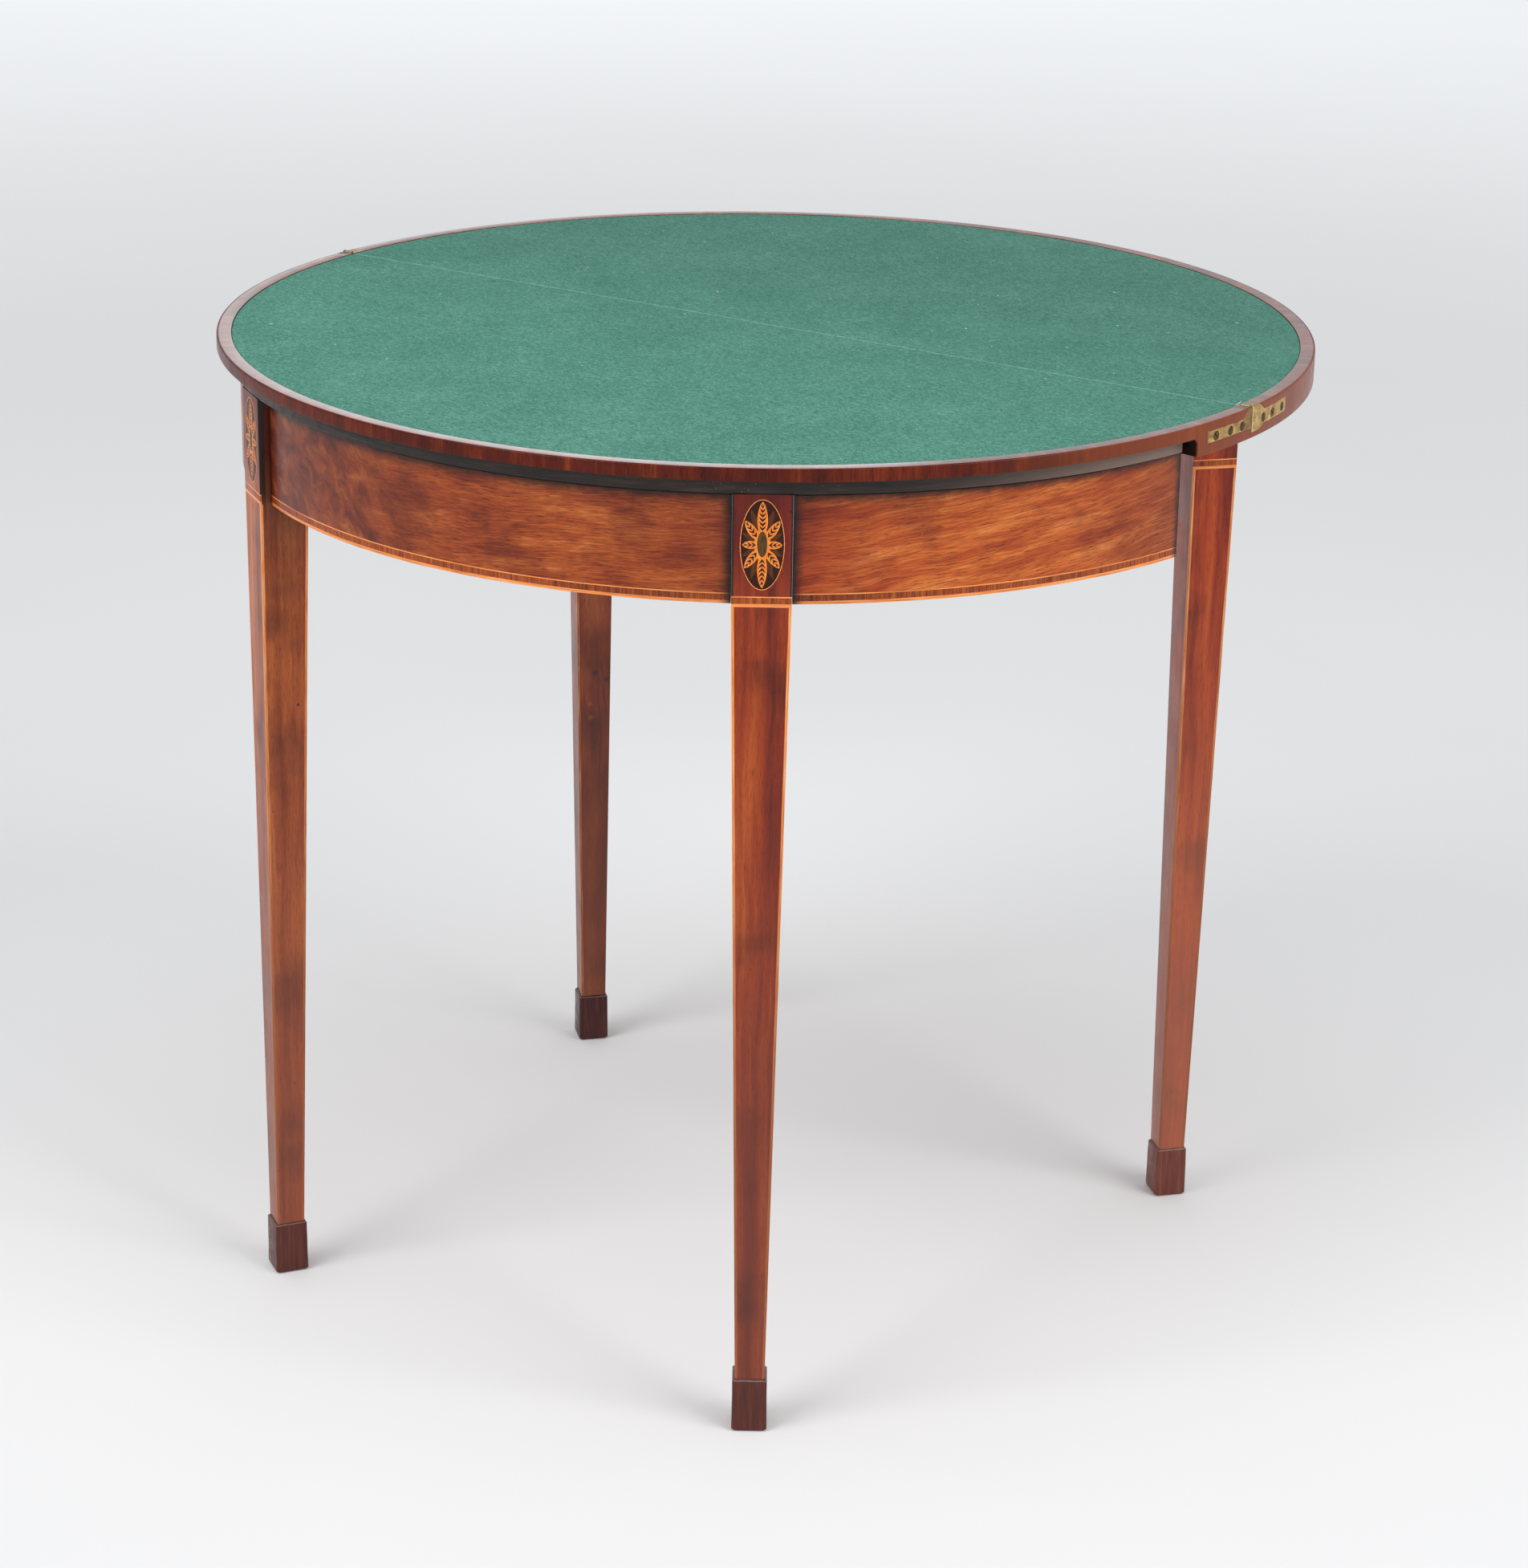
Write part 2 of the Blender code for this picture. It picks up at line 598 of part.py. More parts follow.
def build_frieze():
    """The three curved boards of the frieze, each with its veneer and the banding at its lower edge."""
    cores = {}
    for name, ends in frieze_ends().items():
        board = band_outline(FRIEZE_CORE_OUTER, FRIEZE_CORE_INNER, *ends)
        face = band_outline(FRIEZE_RADIUS, FRIEZE_RADIUS - VENEER_THICKNESS, *ends)
        cores[name] = finish(slab(f"frieze_{name}_core", board, FRIEZE_BOTTOM, FRAME_TOP), "pine")
        finish(slab(f"frieze_{name}_veneer", face, BANDING_TOP + CLEARANCE, FRAME_TOP), "flame_mahogany")
        finish(slab(f"frieze_{name}_banding", face, FRIEZE_BOTTOM, BANDING_TOP), "crossbanding")
    return cores


def leg_sections(top, head, end):
    """A leg from its top to its foot: a straight head, then an even taper. Rectangles are x, x, y, y."""
    return [(top, *head), (FRIEZE_BOTTOM, *head), (FOOT_HEIGHT + CLEARANCE, *end)]


def add_foot(leg, name, end, parent):
    """The block foot, a socketed block that the leg's end tenon stands in."""
    x_middle, y_middle = (end[0] + end[1]) / 2, (end[2] + end[3]) / 2

    def square(size):
        return (x_middle - size / 2, x_middle + size / 2, y_middle - size / 2, y_middle + size / 2)

    foot = tapered_bar(name, [(FOOT_HEIGHT, *square(FOOT_TOP_SIZE)), (0, *square(FOOT_BASE_SIZE))], parent)
    bevel = foot.modifiers.new("Eased edges", "BEVEL")
    bevel.width = FOOT_BEVEL
    bevel.segments = 1
    tenon = square(FOOT_TENON_SIZE)
    socket = square(FOOT_TENON_SIZE + 2 * CLEARANCE)
    top, tenon_end = FOOT_HEIGHT + OVERRUN, FOOT_HEIGHT - FOOT_TENON_LENGTH
    join(leg, tapered_bar(name + "_tenon", [(top, *tenon), (tenon_end, *tenon)], parent))
    cut(foot, tapered_bar(name + "_socket", [(top, *socket), (tenon_end - CLEARANCE, *socket)], parent))
    return finish(foot, "dark_mahogany")


def inlay_shape(name, head, end, grow, over, parent):
    """A banding across the face of a leg's head, with a string down each arris from its two ends.

    Its room in the leg is the same shape, which grows into the wood and runs on over the leg's faces."""
    size = STRING_SIZE + grow + over
    low, high, foot = FRIEZE_BOTTOM - grow, BANDING_TOP + grow, FOOT_HEIGHT + CLEARANCE - grow

    def string_end(section, x_side):
        x, y = (section[1] + over if x_side > 0 else section[0] - over), section[2] - over
        return (*sorted((x, x - x_side * size)), y, y + size)

    left, right = string_end(head, -1), string_end(head, 1)
    across = (left[0], right[1], *left[2:])
    inlay = tapered_bar(name, [(high, *across), (low, *across)], parent)
    shape = bmesh.new()
    shape.from_mesh(inlay.data)
    for x in (left[1], right[0]):
        bmesh.ops.bisect_plane(shape, geom=[*shape.verts, *shape.edges, *shape.faces],
                               plane_co=(x, 0, 0), plane_no=(1, 0, 0))
    under = [face for face in shape.faces if round(face.normal.z) == -1]
    under.sort(key=lambda face: face.calc_center_median().x)
    for face, x_side in ((under[0], -1), (under[-1], 1)):
        string_face = bmesh.ops.extrude_discrete_faces(shape, faces=[face])["faces"][0]
        set_ring(string_face.verts, (foot, *string_end(end, x_side)))
    shape.to_mesh(inlay.data)
    shape.free()
    return inlay


def add_stringing(leg, name, head, end, parent):
    """Boxwood strings let into both front arrises of a leg, joined by the banding across its head."""
    cut(leg, inlay_shape(name + "_room", head, end, CLEARANCE, OVERRUN, parent))
    return finish(inlay_shape(name, head, end, 0, 0, parent), "boxwood")


def patera_slab(name, grow, over, parent):
    """An oval let into the face of a leg, drawn round its own middle."""
    middle = FRONT_LEG_TOP - PATERA_TOP_MARGIN - PATERA_HEIGHT / 2
    half_width, half_height = PATERA_WIDTH / 2 + grow, PATERA_HEIGHT / 2 + grow
    turns = [2 * math.pi * step / PATERA_POINTS for step in range(PATERA_POINTS)]
    outline = [(half_width * math.cos(turn), middle + half_height * math.sin(turn)) for turn in turns]
    return slab(name, outline, -over, PATERA_THICKNESS + grow, axis="Y", parent=parent)


def build_front_leg(side):
    name = "right" if side > 0 else "left"
    degrees = side * FRONT_LEG_DEGREES
    place = empty(f"front_leg_{name}_place", on_circle(LEG_FACE_RADIUS, degrees, 0), degrees)
    half_head, half_end = LEG_HEAD_WIDTH / 2, LEG_END_SIZE / 2
    head = (-half_head, half_head, 0, LEG_HEAD_DEPTH)
    end = (-half_end, half_end, 0, LEG_END_SIZE)
    leg = tapered_bar(f"front_leg_{name}", leg_sections(FRONT_LEG_TOP, head, end), place)
    # Behind the ebonised strip, the leg stops lower, under the leaf
    lip = LEG_FACE_RADIUS - REBATE_RADIUS - CLEARANCE
    cut(leg, box(leg.name + "_top_step", (-half_head - OVERRUN, lip, FRAME_TOP),
                 (half_head + OVERRUN, LEG_HEAD_DEPTH + OVERRUN, FRONT_LEG_TOP + OVERRUN), place))
    add_foot(leg, f"front_foot_{name}", end, place)
    add_stringing(leg, leg.name + "_stringing", head, end, place)
    cut(leg, patera_slab(f"patera_{name}_pocket", CLEARANCE, OVERRUN, place))
    finish(patera_slab(f"patera_{name}", 0, 0, place), "satinwood")
    finish(leg, "mahogany")


def finger_levels():
    """The height of each finger of a gate's knuckle joint, top finger first."""
    height = GATE_RAIL_HEIGHT / FINGER_COUNT
    for index in range(FINGER_COUNT):
        high = GATE_RAIL_TOP - index * height
        yield index, high - height + CLEARANCE / 2, high - CLEARANCE / 2


def rail_plan(axis_x, far_x, y):
    """A rail from above: round about the gate's axis at one end, square at the other. It runs to far_x."""
    half, away = GATE_RAIL_THICKNESS / 2, math.copysign(1, far_x - axis_x)
    steps = KNUCKLE_SIDES // 2
    turns = [math.pi / 2 + math.pi * step / steps for step in range(steps + 1)]
    round_end = [(axis_x + away * half * math.cos(turn), y + half * math.sin(turn)) for turn in turns]
    return [*round_end, (far_x, y - half), (far_x, y + half)]


def knuckled(rail, name, axis_x, axis_y, own_even, parent=None):
    """Cut the round end of a rail into fingers, with room between them for the other rail's to turn."""
    for index, low, high in finger_levels():
        if (index % 2 == 0) != own_even:
            start, end = (axis_x, axis_y, low - CLEARANCE), (axis_x, axis_y, high + CLEARANCE)
            cut(rail, rod(f"{name}_cove_{index}", COVE_RADIUS, start, end, KNUCKLE_SIDES, parent))
    bore = rod(f"{name}_bore", GATE_PIN_RADIUS + CLEARANCE, (axis_x, axis_y, GATE_RAIL_BOTTOM - OVERRUN),
               (axis_x, axis_y, GATE_RAIL_TOP + OVERRUN), PIN_SIDES, parent)
    cut(rail, bore)
    return rail


def build_gate(side):
    """A fly leg, its rail and its pin, modelled shut against the frame and swung open about the pin."""
    name = "right" if side > 0 else "left"
    axis = empty(f"gate_{name}_axis", (side * GATE_AXIS_DISTANCE, GATE_AXIS_Y, 0),
                 side * GATE_OPEN_DEGREES[side])
    leg_outer = FLY_LEG_OUTER_X - GATE_AXIS_DISTANCE
    leg_inner = leg_outer - FLY_LEG_HEAD_SIZE
    half_rail = GATE_RAIL_THICKNESS / 2
    front, back = -half_rail, FLY_LEG_HEAD_SIZE - half_rail
    middle = (front + back) / 2

    def rectangle(x_near, x_far, y_low, y_high):
        return (*sorted((side * x_near, side * x_far)), y_low, y_high)

    head = rectangle(leg_inner, leg_outer, front, back)
    end_outer = leg_outer - FLY_LEG_OUTER_TAPER
    end = rectangle(end_outer - LEG_END_SIZE, end_outer, middle - LEG_END_SIZE / 2, middle + LEG_END_SIZE / 2)
    leg = tapered_bar(f"fly_leg_{name}", leg_sections(FRAME_TOP, head, end), axis)
    add_foot(leg, f"fly_foot_{name}", end, axis)
    add_stringing(leg, leg.name + "_stringing", head, end, axis)

    rail = slab(f"fly_rail_{name}", rail_plan(0, side * (leg_inner - CLEARANCE), 0), GATE_RAIL_BOTTOM,
                GATE_RAIL_TOP, parent=axis)
    centre = (GATE_RAIL_BOTTOM + GATE_RAIL_TOP) / 2
    half_height, half_thickness = RAIL_TENON_HEIGHT / 2, RAIL_TENON_THICKNESS / 2
    tenon = rectangle(leg_inner - OVERRUN, leg_inner + RAIL_TENON_LENGTH, -half_thickness, half_thickness)
    mortise = rectangle(leg_inner - OVERRUN, leg_inner + RAIL_TENON_LENGTH + CLEARANCE,
                        -half_thickness - CLEARANCE, half_thickness + CLEARANCE)
    join(rail, tapered_bar(rail.name + "_tenon", [(centre + half_height, *tenon),
                                                  (centre - half_height, *tenon)], axis))
    cut(leg, tapered_bar(leg.name + "_mortise", [(centre + half_height + CLEARANCE, *mortise),
                                                 (centre - half_height - CLEARANCE, *mortise)], axis))
    finish(knuckled(rail, rail.name, 0, 0, False, axis), "beech")
    foot_of_pin = (side * GATE_AXIS_DISTANCE, GATE_AXIS_Y, GATE_RAIL_BOTTOM)
    head_of_pin = (side * GATE_AXIS_DISTANCE, GATE_AXIS_Y, GATE_RAIL_TOP)
    finish(rod(f"gate_pin_{name}", GATE_PIN_RADIUS, foot_of_pin, head_of_pin, PIN_SIDES), "steel")
    finish(leg, "mahogany")


def back_rail_outline():
    """The straight rail between the frieze's ends, whose ends follow the inside of the curve."""
    # The ends keep clear of the flats between the corners of the curve
    reach = FRIEZE_CORE_INNER * math.cos(math.radians(ARC_STEP_DEGREES) / 2) - CLEARANCE
    near, far = FRIEZE_END_SETBACK, FRIEZE_END_SETBACK + BACK_RAIL_THICKNESS
    corners = [(math.sqrt(reach ** 2 - near ** 2), -near), (math.sqrt(reach ** 2 - far ** 2), -far)]
    return [*corners, *[(-x, y) for x, y in reversed(corners)]]


def frieze_name_at(degrees):
    if abs(degrees) < FRONT_LEG_DEGREES:
        return "front"
    return "right" if degrees > 0 else "left"


def top_screw_place(degrees):
    """Where a screw starts in its pocket, its way up and outward into the leaf, and its length."""
    tilt = math.radians(TOP_SCREW_TILT_DEGREES)
    outward = Vector((*on_circle(1, degrees), 0))
    direction = outward * math.sin(tilt) + Vector((0, 0, math.cos(tilt)))
    mouth = outward * FRIEZE_CORE_INNER + Vector((0, 0, LEAF_UNDERSIDE - POCKET_DROP))
    start = mouth + direction * (POCKET_DEPTH / math.sin(tilt))
    length = (LEAF_UNDERSIDE - start.z) / math.cos(tilt) + TOP_SCREW_BITE
    return start, direction, length


def build_top_screws(cores, fixed_leaf):
    head = (TOP_SCREW_HEAD_RADIUS, TOP_SCREW_HEAD_HEIGHT, TOP_SCREW_SHANK_RADIUS)
    for index, degrees in enumerate(TOP_SCREW_DEGREES, 1):
        start, direction, length = top_screw_place(degrees)
        finish(screw(f"top_screw_{index}", start, direction, *head, length), "steel")
        for piece in (cores[frieze_name_at(degrees)], fixed_leaf):
            cut(piece, screw_hole(f"top_screw_{index}_{piece.name}_hole", start, direction, *head, length,
                                  POCKET_DROP))


def build_back():
    """The straight back rail, and the block on it that both gates are hung from."""
    finish(slab("back_rail", back_rail_outline(), FRIEZE_BOTTOM, FRAME_TOP), "pine")
    left_end = rail_plan(-GATE_AXIS_DISTANCE, GATE_AXIS_DISTANCE, GATE_AXIS_Y)[:-2]
    right_end = [(-x, y) for x, y in reversed(left_end)]
    hinge_rail = slab("hinge_rail", left_end + right_end, GATE_RAIL_BOTTOM, GATE_RAIL_TOP)
    for side in (-1, 1):
        knuckled(hinge_rail, f"hinge_rail_{side}", side * GATE_AXIS_DISTANCE, GATE_AXIS_Y, True)
    finish(hinge_rail, "beech")


clear_scene()
table_parts = new_collection("demilune_card_table")
guides = new_collection("cutters_and_guides", hidden=True)

fixed_leaf = build_leaf(-1)
build_leaf(1)
build_ebonised_strip()
build_leaf_hinges()
frieze_cores = build_frieze()
build_top_screws(frieze_cores, fixed_leaf)
for side in (-1, 1):
    build_front_leg(side)
    build_gate(side)
build_back()
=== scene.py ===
import json
import math
import random

import bmesh
import bpy
from mathutils import Matrix, Vector, noise


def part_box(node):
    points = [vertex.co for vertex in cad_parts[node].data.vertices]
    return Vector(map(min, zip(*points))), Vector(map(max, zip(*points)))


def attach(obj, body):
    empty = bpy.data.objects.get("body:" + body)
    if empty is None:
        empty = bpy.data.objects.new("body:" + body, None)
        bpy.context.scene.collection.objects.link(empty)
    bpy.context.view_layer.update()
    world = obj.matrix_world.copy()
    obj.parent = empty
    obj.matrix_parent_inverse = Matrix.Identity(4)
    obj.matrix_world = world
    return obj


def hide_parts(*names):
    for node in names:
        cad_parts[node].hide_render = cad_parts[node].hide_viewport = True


# Demilune card table in inlaid mahogany, open for play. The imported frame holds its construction.
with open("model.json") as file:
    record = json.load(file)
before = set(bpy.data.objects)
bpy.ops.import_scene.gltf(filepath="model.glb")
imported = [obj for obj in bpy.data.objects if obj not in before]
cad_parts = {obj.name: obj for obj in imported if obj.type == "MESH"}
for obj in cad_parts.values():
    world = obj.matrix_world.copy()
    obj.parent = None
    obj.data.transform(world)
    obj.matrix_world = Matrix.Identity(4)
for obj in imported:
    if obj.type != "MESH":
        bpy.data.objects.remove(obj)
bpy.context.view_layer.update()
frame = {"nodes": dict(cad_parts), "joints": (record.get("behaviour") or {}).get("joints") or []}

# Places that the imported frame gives, in metres
edgeLow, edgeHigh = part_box("flap_lipping")
clothLow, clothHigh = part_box("flap_baize")
stripLow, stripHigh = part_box("ebonised_strip")
veneerLow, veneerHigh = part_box("frieze_front_veneer")
bandLow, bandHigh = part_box("frieze_front_banding")
topRadius, topHeight, leafUnderside = edgeHigh.x, edgeHigh.z, edgeLow.z
clothRadius, clothTop, clothBottom = clothHigh.x, clothHigh.z, clothLow.z
friezeRadius, friezeTop, friezeBottom, bandTop = -veneerLow.y, veneerHigh.z, bandLow.z, bandHigh.z
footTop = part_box("front_foot_left")[1].z
foldGap = 0.0001       # half the gap between the two leaves as it shows
hairline = 0.00004     # a glue line between two pieces
overrun = 0.003        # how far a cutter reaches past what it cuts
cutterEase = 0.0001    # the least rounding, on the edges of cutters
ends = (-1, 1)         # left and right of the table
# -1 is the fixed leaf, 1 the flap; then the body, and the start of the names here and in the frame
leaves = ((-1, "frame", "fixedLeaf", "fixed_leaf"), (1, "flap", "flap", "flap"))

pieces = bpy.data.collections.new("cardTableLooks")
bpy.context.scene.collection.children.link(pieces)


# Mesh tools

def easedOutline(corners, steps=3):
    # a flat outline from (u, v, ease) corners, each rounded off over its ease
    points = []
    for index, (u, v, ease) in enumerate(corners):
        here = Vector((u, v))
        if ease == 0:
            points.append(here)
            continue
        before = Vector(corners[index - 1][:2]) - here
        after = Vector(corners[(index + 1) % len(corners)][:2]) - here
        start, end = here + before.normalized() * ease, here + after.normalized() * ease
        for step in range(steps + 1):
            share = step / steps
            points.append(start * (1 - share) ** 2 + here * 2 * share * (1 - share) + end * share ** 2)
    return points


def ringSweep(rings, closed=False):
    # a body through rings that all have as many points, capped at its ends or closed into a loop
    shape = bmesh.new()
    loops = [[shape.verts.new(point) for point in ring] for ring in rings]
    for near, far in zip(loops, loops[1:] + (loops[:1] if closed else [])):
        for index in range(len(near)):
            following = (index + 1) % len(near)
            shape.faces.new((near[index], near[following], far[following], far[index]))
    if not closed:
        shape.faces.new(loops[0])
        shape.faces.new(loops[-1][::-1])
    bmesh.ops.recalc_face_normals(shape, faces=shape.faces)
    return shape


def closedGrid(topRows, lowRows):
    # a thin body between two grids of points
    shape = bmesh.new()
    top, low = [[[shape.verts.new(point) for point in row] for row in rows] for rows in (topRows, lowRows)]
    for rows in (top, low):
        for near, far in zip(rows, rows[1:]):
            for index in range(len(near) - 1):
                shape.faces.new((near[index], near[index + 1], far[index + 1], far[index]))
    borders = [(top[end][index], top[end][index + 1], low[end][index + 1], low[end][index])
               for end in (0, -1) for index in range(len(top[0]) - 1)]
    borders += [(top[index][end], top[index + 1][end], low[index + 1][end], low[index][end])
                for end in (0, -1) for index in range(len(top) - 1)]
    for border in borders:
        shape.faces.new(border)
    bmesh.ops.recalc_face_normals(shape, faces=shape.faces)
    return shape


def taperedBar(sections, ease):
    # a four-sided bar through (z, x low, x high, y low, y high), with eased arrises
    rings = []
    for z, xLow, xHigh, yLow, yHigh in sections:
        corners = [(xLow, yLow, ease), (xHigh, yLow, ease), (xHigh, yHigh, ease), (xLow, yHigh, ease)]
        rings.append([(x, y, z) for x, y in easedOutline(corners)])
    return ringSweep(rings)


def plate(outline, front, back):
    # an (x, z) outline given thickness along Y, as an inlay is let into a face
    return ringSweep([[(x, depth, z) for x, z in outline] for depth in (front, back)])


def roundBar(start, end, radius, sides=24):
    shape = bmesh.new()
    start, end = Vector(start), Vector(end)
    bmesh.ops.create_cone(shape, cap_ends=True, segments=sides, radius1=radius, radius2=radius,
                          depth=(end - start).length)
    turn = (end - start).to_track_quat("Z", "Y").to_matrix().to_4x4()
    shape.transform(Matrix.Translation((start + end) / 2) @ turn)
    return shape


def together(shapes):
    # several bodies as one mesh
    whole = bmesh.new()
    for shape in shapes:
        holder = bpy.data.meshes.new("holder")
        shape.to_mesh(holder)
        shape.free()
        whole.from_mesh(holder)
        bpy.data.meshes.remove(holder)
    return whole


def carved(shape, removed=(), added=()):
    # the shape with others joined on and then others cut away
    def standIn(body):
        holder = bpy.data.objects.new("standIn", bpy.data.meshes.new("standIn"))
        body.to_mesh(holder.data)
        body.free()
        pieces.objects.link(holder)
        return holder

    blank = standIn(shape)
    tools = []
    for operation, others in (("UNION", added), ("DIFFERENCE", removed)):
        for other in others:
            tools.append(standIn(other))
            change = blank.modifiers.new(operation, "BOOLEAN")
            change.operation, change.solver, change.object = operation, "EXACT", tools[-1]
    bpy.context.view_layer.update()
    result = bmesh.new()
    result.from_object(blank, bpy.context.evaluated_depsgraph_get())
    for holder in (blank, *tools):
        data = holder.data
        bpy.data.objects.remove(holder)
        bpy.data.meshes.remove(data)
    return result


def addPiece(name, shape, finish, body, stands=(), place=None, smoothDegrees=35):
    mesh = bpy.data.meshes.new(name)
    shape.to_mesh(mesh)
    shape.free()
    mesh.materials.append(finish)
    mesh.shade_smooth()
    mesh.set_sharp_from_angle(angle=math.radians(smoothDegrees))
    piece = bpy.data.objects.new(name, mesh)
    pieces.objects.link(piece)
    if place is not None:
        piece.matrix_world = place
    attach(piece, body)
    if stands:
        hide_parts(*stands)
    return piece


# Material tools

def linear(hexText):
    # an sRGB hex colour as the linear colour that a socket holds
    channels = [int(hexText[index:index + 2], 16) / 255 for index in (1, 3, 5)]
    return (*[c / 12.92 if c <= 0.04045 else ((c + 0.055) / 1.055) ** 2.4 for c in channels], 1.0)


class Finish:
    # a material in the making: its nodes, its grain in millimetres and the colour so far

    def __init__(self, name, settings, order="xyz", tilt=0.0, shift=0.0):
        # order says which of the piece's axes run along, across and into the grain
        self.material = bpy.data.materials.new(name)
        self.material.use_nodes = True
        self.tree = self.material.node_tree
        self.shader = self.tree.nodes["Principled BSDF"]
        for key, value in settings.items():
            self.shader.inputs[key].default_value = value
        spot = self.addNode("TexCoord", {})["Object"]
        spot = self.addNode("VectorMath", {"operation": "SCALE", 0: spot, "Scale": 1000.0})[0]
        self.axes = dict(zip("xyz", self.addNode("SeparateXYZ", {0: spot})))
        joined = self.addNode("CombineXYZ", {index: self.axis(letter) for index, letter in enumerate(order)})[0]
        self.space = self.addNode("Mapping", {0: joined, "Location": (shift, shift, shift),
                                              "Rotation": (0, 0, math.radians(tilt))})[0]

    def addNode(self, kind, settings):
        # a socket among the settings is linked, any other value is set
        node = self.tree.nodes.new("ShaderNode" + kind)
        for key, value in settings.items():
            if key == "stops":
                while len(node.color_ramp.elements) < len(value):
                    node.color_ramp.elements.new(1.0)
                for element, (position, hexText) in zip(node.color_ramp.elements, value):
                    element.position, element.color = position, linear(hexText)
            elif isinstance(value, bpy.types.NodeSocket):
                self.tree.links.new(value, node.inputs[key])
            elif isinstance(key, str) and hasattr(node, key):
                setattr(node, key, value)
            else:
                node.inputs[key].default_value = value
        return node.outputs

    def axis(self, letter):
        # x, y or z of the piece, a the arc round the table at its rim, r the distance from its middle
        x, y = self.axes["x"], self.axes["y"]
        if letter == "a" and "a" not in self.axes:
            front = self.addNode("Math", {"operation": "MULTIPLY", 0: y, 1: -1.0})[0]
            turn = self.addNode("Math", {"operation": "ARCTAN2", 0: x, 1: front})[0]
            self.axes["a"] = self.addNode("Math", {"operation": "MULTIPLY", 0: turn, 1: topRadius * 1000})[0]
        if letter == "r" and "r" not in self.axes:
            flat = self.addNode("CombineXYZ", {0: x, 1: y})[0]
            self.axes["r"] = self.addNode("VectorMath", {"operation": "LENGTH", 0: flat})["Value"]
        return self.axes[letter]

    def marks(self, size, detail=2.0, roughness=0.5, space=None):
        # soft marks as long, wide and deep as the size in millimetres, or clouds where it is one number
        space = self.space if space is None else space
        if isinstance(size, tuple):
            space, size = self.addNode("Mapping", {0: space, "Scale": [1 / side for side in size]})[0], 1.0
        return self.addNode("TexNoise", {0: space, "Scale": 1 / size, "Detail": detail, "Roughness": roughness})[0]

    def toned(self, stops, size, detail=2.0, roughness=0.5):
        # marks through a ramp of colours; the polish follows the marks that it returns
        marks = self.marks(size, detail, roughness)
        self.colour = self.addNode("ValToRGB", {0: marks, "stops": stops})[0]
        return marks

    def figured(self, look, space=None):
        # warped figure and streaks through a ramp of colours, then fine dark pores, which it returns
        space = self.space if space is None else space
        drift = self.addNode("TexNoise", {0: space, "Scale": 1 / look["warpSize"], "Detail": 2.0})[1]
        warped = self.addNode("VectorMath", {"operation": "MULTIPLY_ADD", 0: drift, 1: look["warp"], 2: space})[0]
        share = look["streakShare"]
        figure, streak = self.marks(look["figure"], 4.0, 0.55, warped), self.marks(look["streak"], 3.0, 0.6, warped)
        streak = self.addNode("Math", {"operation": "MULTIPLY", 0: streak, 1: share})[0]
        both = self.addNode("Math", {"operation": "MULTIPLY_ADD", 0: figure, 1: 1 - share, 2: streak})[0]
        self.colour = self.addNode("ValToRGB", {0: both, "stops": look["stops"]})[0]
        pores = self.marks(look["pore"], 2.0, 0.6, space)
        self.stain(look["poreColour"], (pores, 0.52, 0.66, 0.0, look["poreDepth"]))
        return pores

    def where(self, *bands):
        # how far a point lies in all the bands; each is a value, two limits and, if not 0 and 1, what they give
        share = None
        for value, low, high, *given in bands:
            toLow, toHigh = given or (0.0, 1.0)
            band = self.addNode("MapRange", {"interpolation_type": "SMOOTHSTEP", 0: value, 1: low, 2: high,
                                             3: toLow, 4: toHigh})[0]
            if share is not None:
                band = self.addNode("Math", {"operation": "MULTIPLY", 0: share, 1: band})[0]
            share = band
        return share

    def cover(self, hexText, *bands, blend="MIX"):
        # a colour laid over the colour so far, as thickly as the bands say
        self.colour = self.addNode("Mix", {"data_type": "RGBA", "blend_type": blend, 0: self.where(*bands),
                                           6: self.colour, 7: linear(hexText)})[2]

    def stain(self, hexText, *bands):
        # the same, with the colour so far showing through
        self.cover(hexText, *bands, blend="MULTIPLY")

    def speckle(self, hexText, pitch, limits, *bands):
        # dots of a colour, a pitch in millimetres apart; the limits say how big, in shares of the pitch
        dots = self.addNode("TexVoronoi", {0: self.space, "Scale": 1 / pitch})["Distance"]
        self.cover(hexText, (dots, *limits), *bands)

    def done(self, **sockets):
        for key, socket in {"Base Color": self.colour, **sockets}.items():
            self.tree.links.new(socket, self.shader.inputs[key])
        return self.material

    def polish(self, relief, hazeSize=24.0, roughness=(0.27, 0.37), bump=0.10):
        # an old polish: its gloss wanders over the haze, and the relief sinks in a little
        haze = self.where((self.marks(hazeSize, 4.0), 0.3, 0.7, *roughness))
        ripple = self.addNode("Bump", {"Strength": bump, "Distance": 0.0004, "Height": relief})[0]
        return self.done(Roughness=haze, Normal=ripple)


# Mahogany, french polished: red-brown with orange light in it, and a soft skin of reflection
mahogany = {
    "stops": [(0.32, "#48140a"), (0.46, "#7a280f"), (0.56, "#92360f"), (0.72, "#b2521c")],
    "figure": (330.0, 16.0, 16.0), "streak": (420.0, 2.4, 2.4), "streakShare": 0.22,
    "pore": (9.0, 0.6, 0.6), "poreDepth": 0.4, "poreColour": "#6e3a22",  # pores, coarser than the real 0.2 mm
    "warpSize": 90.0, "warp": (10.0, 9.0, 9.0),
}
polished = {"Roughness": 0.3, "IOR": 1.5, "Specular IOR Level": 0.26, "Coat Weight": 0.08, "Coat Roughness": 0.1}

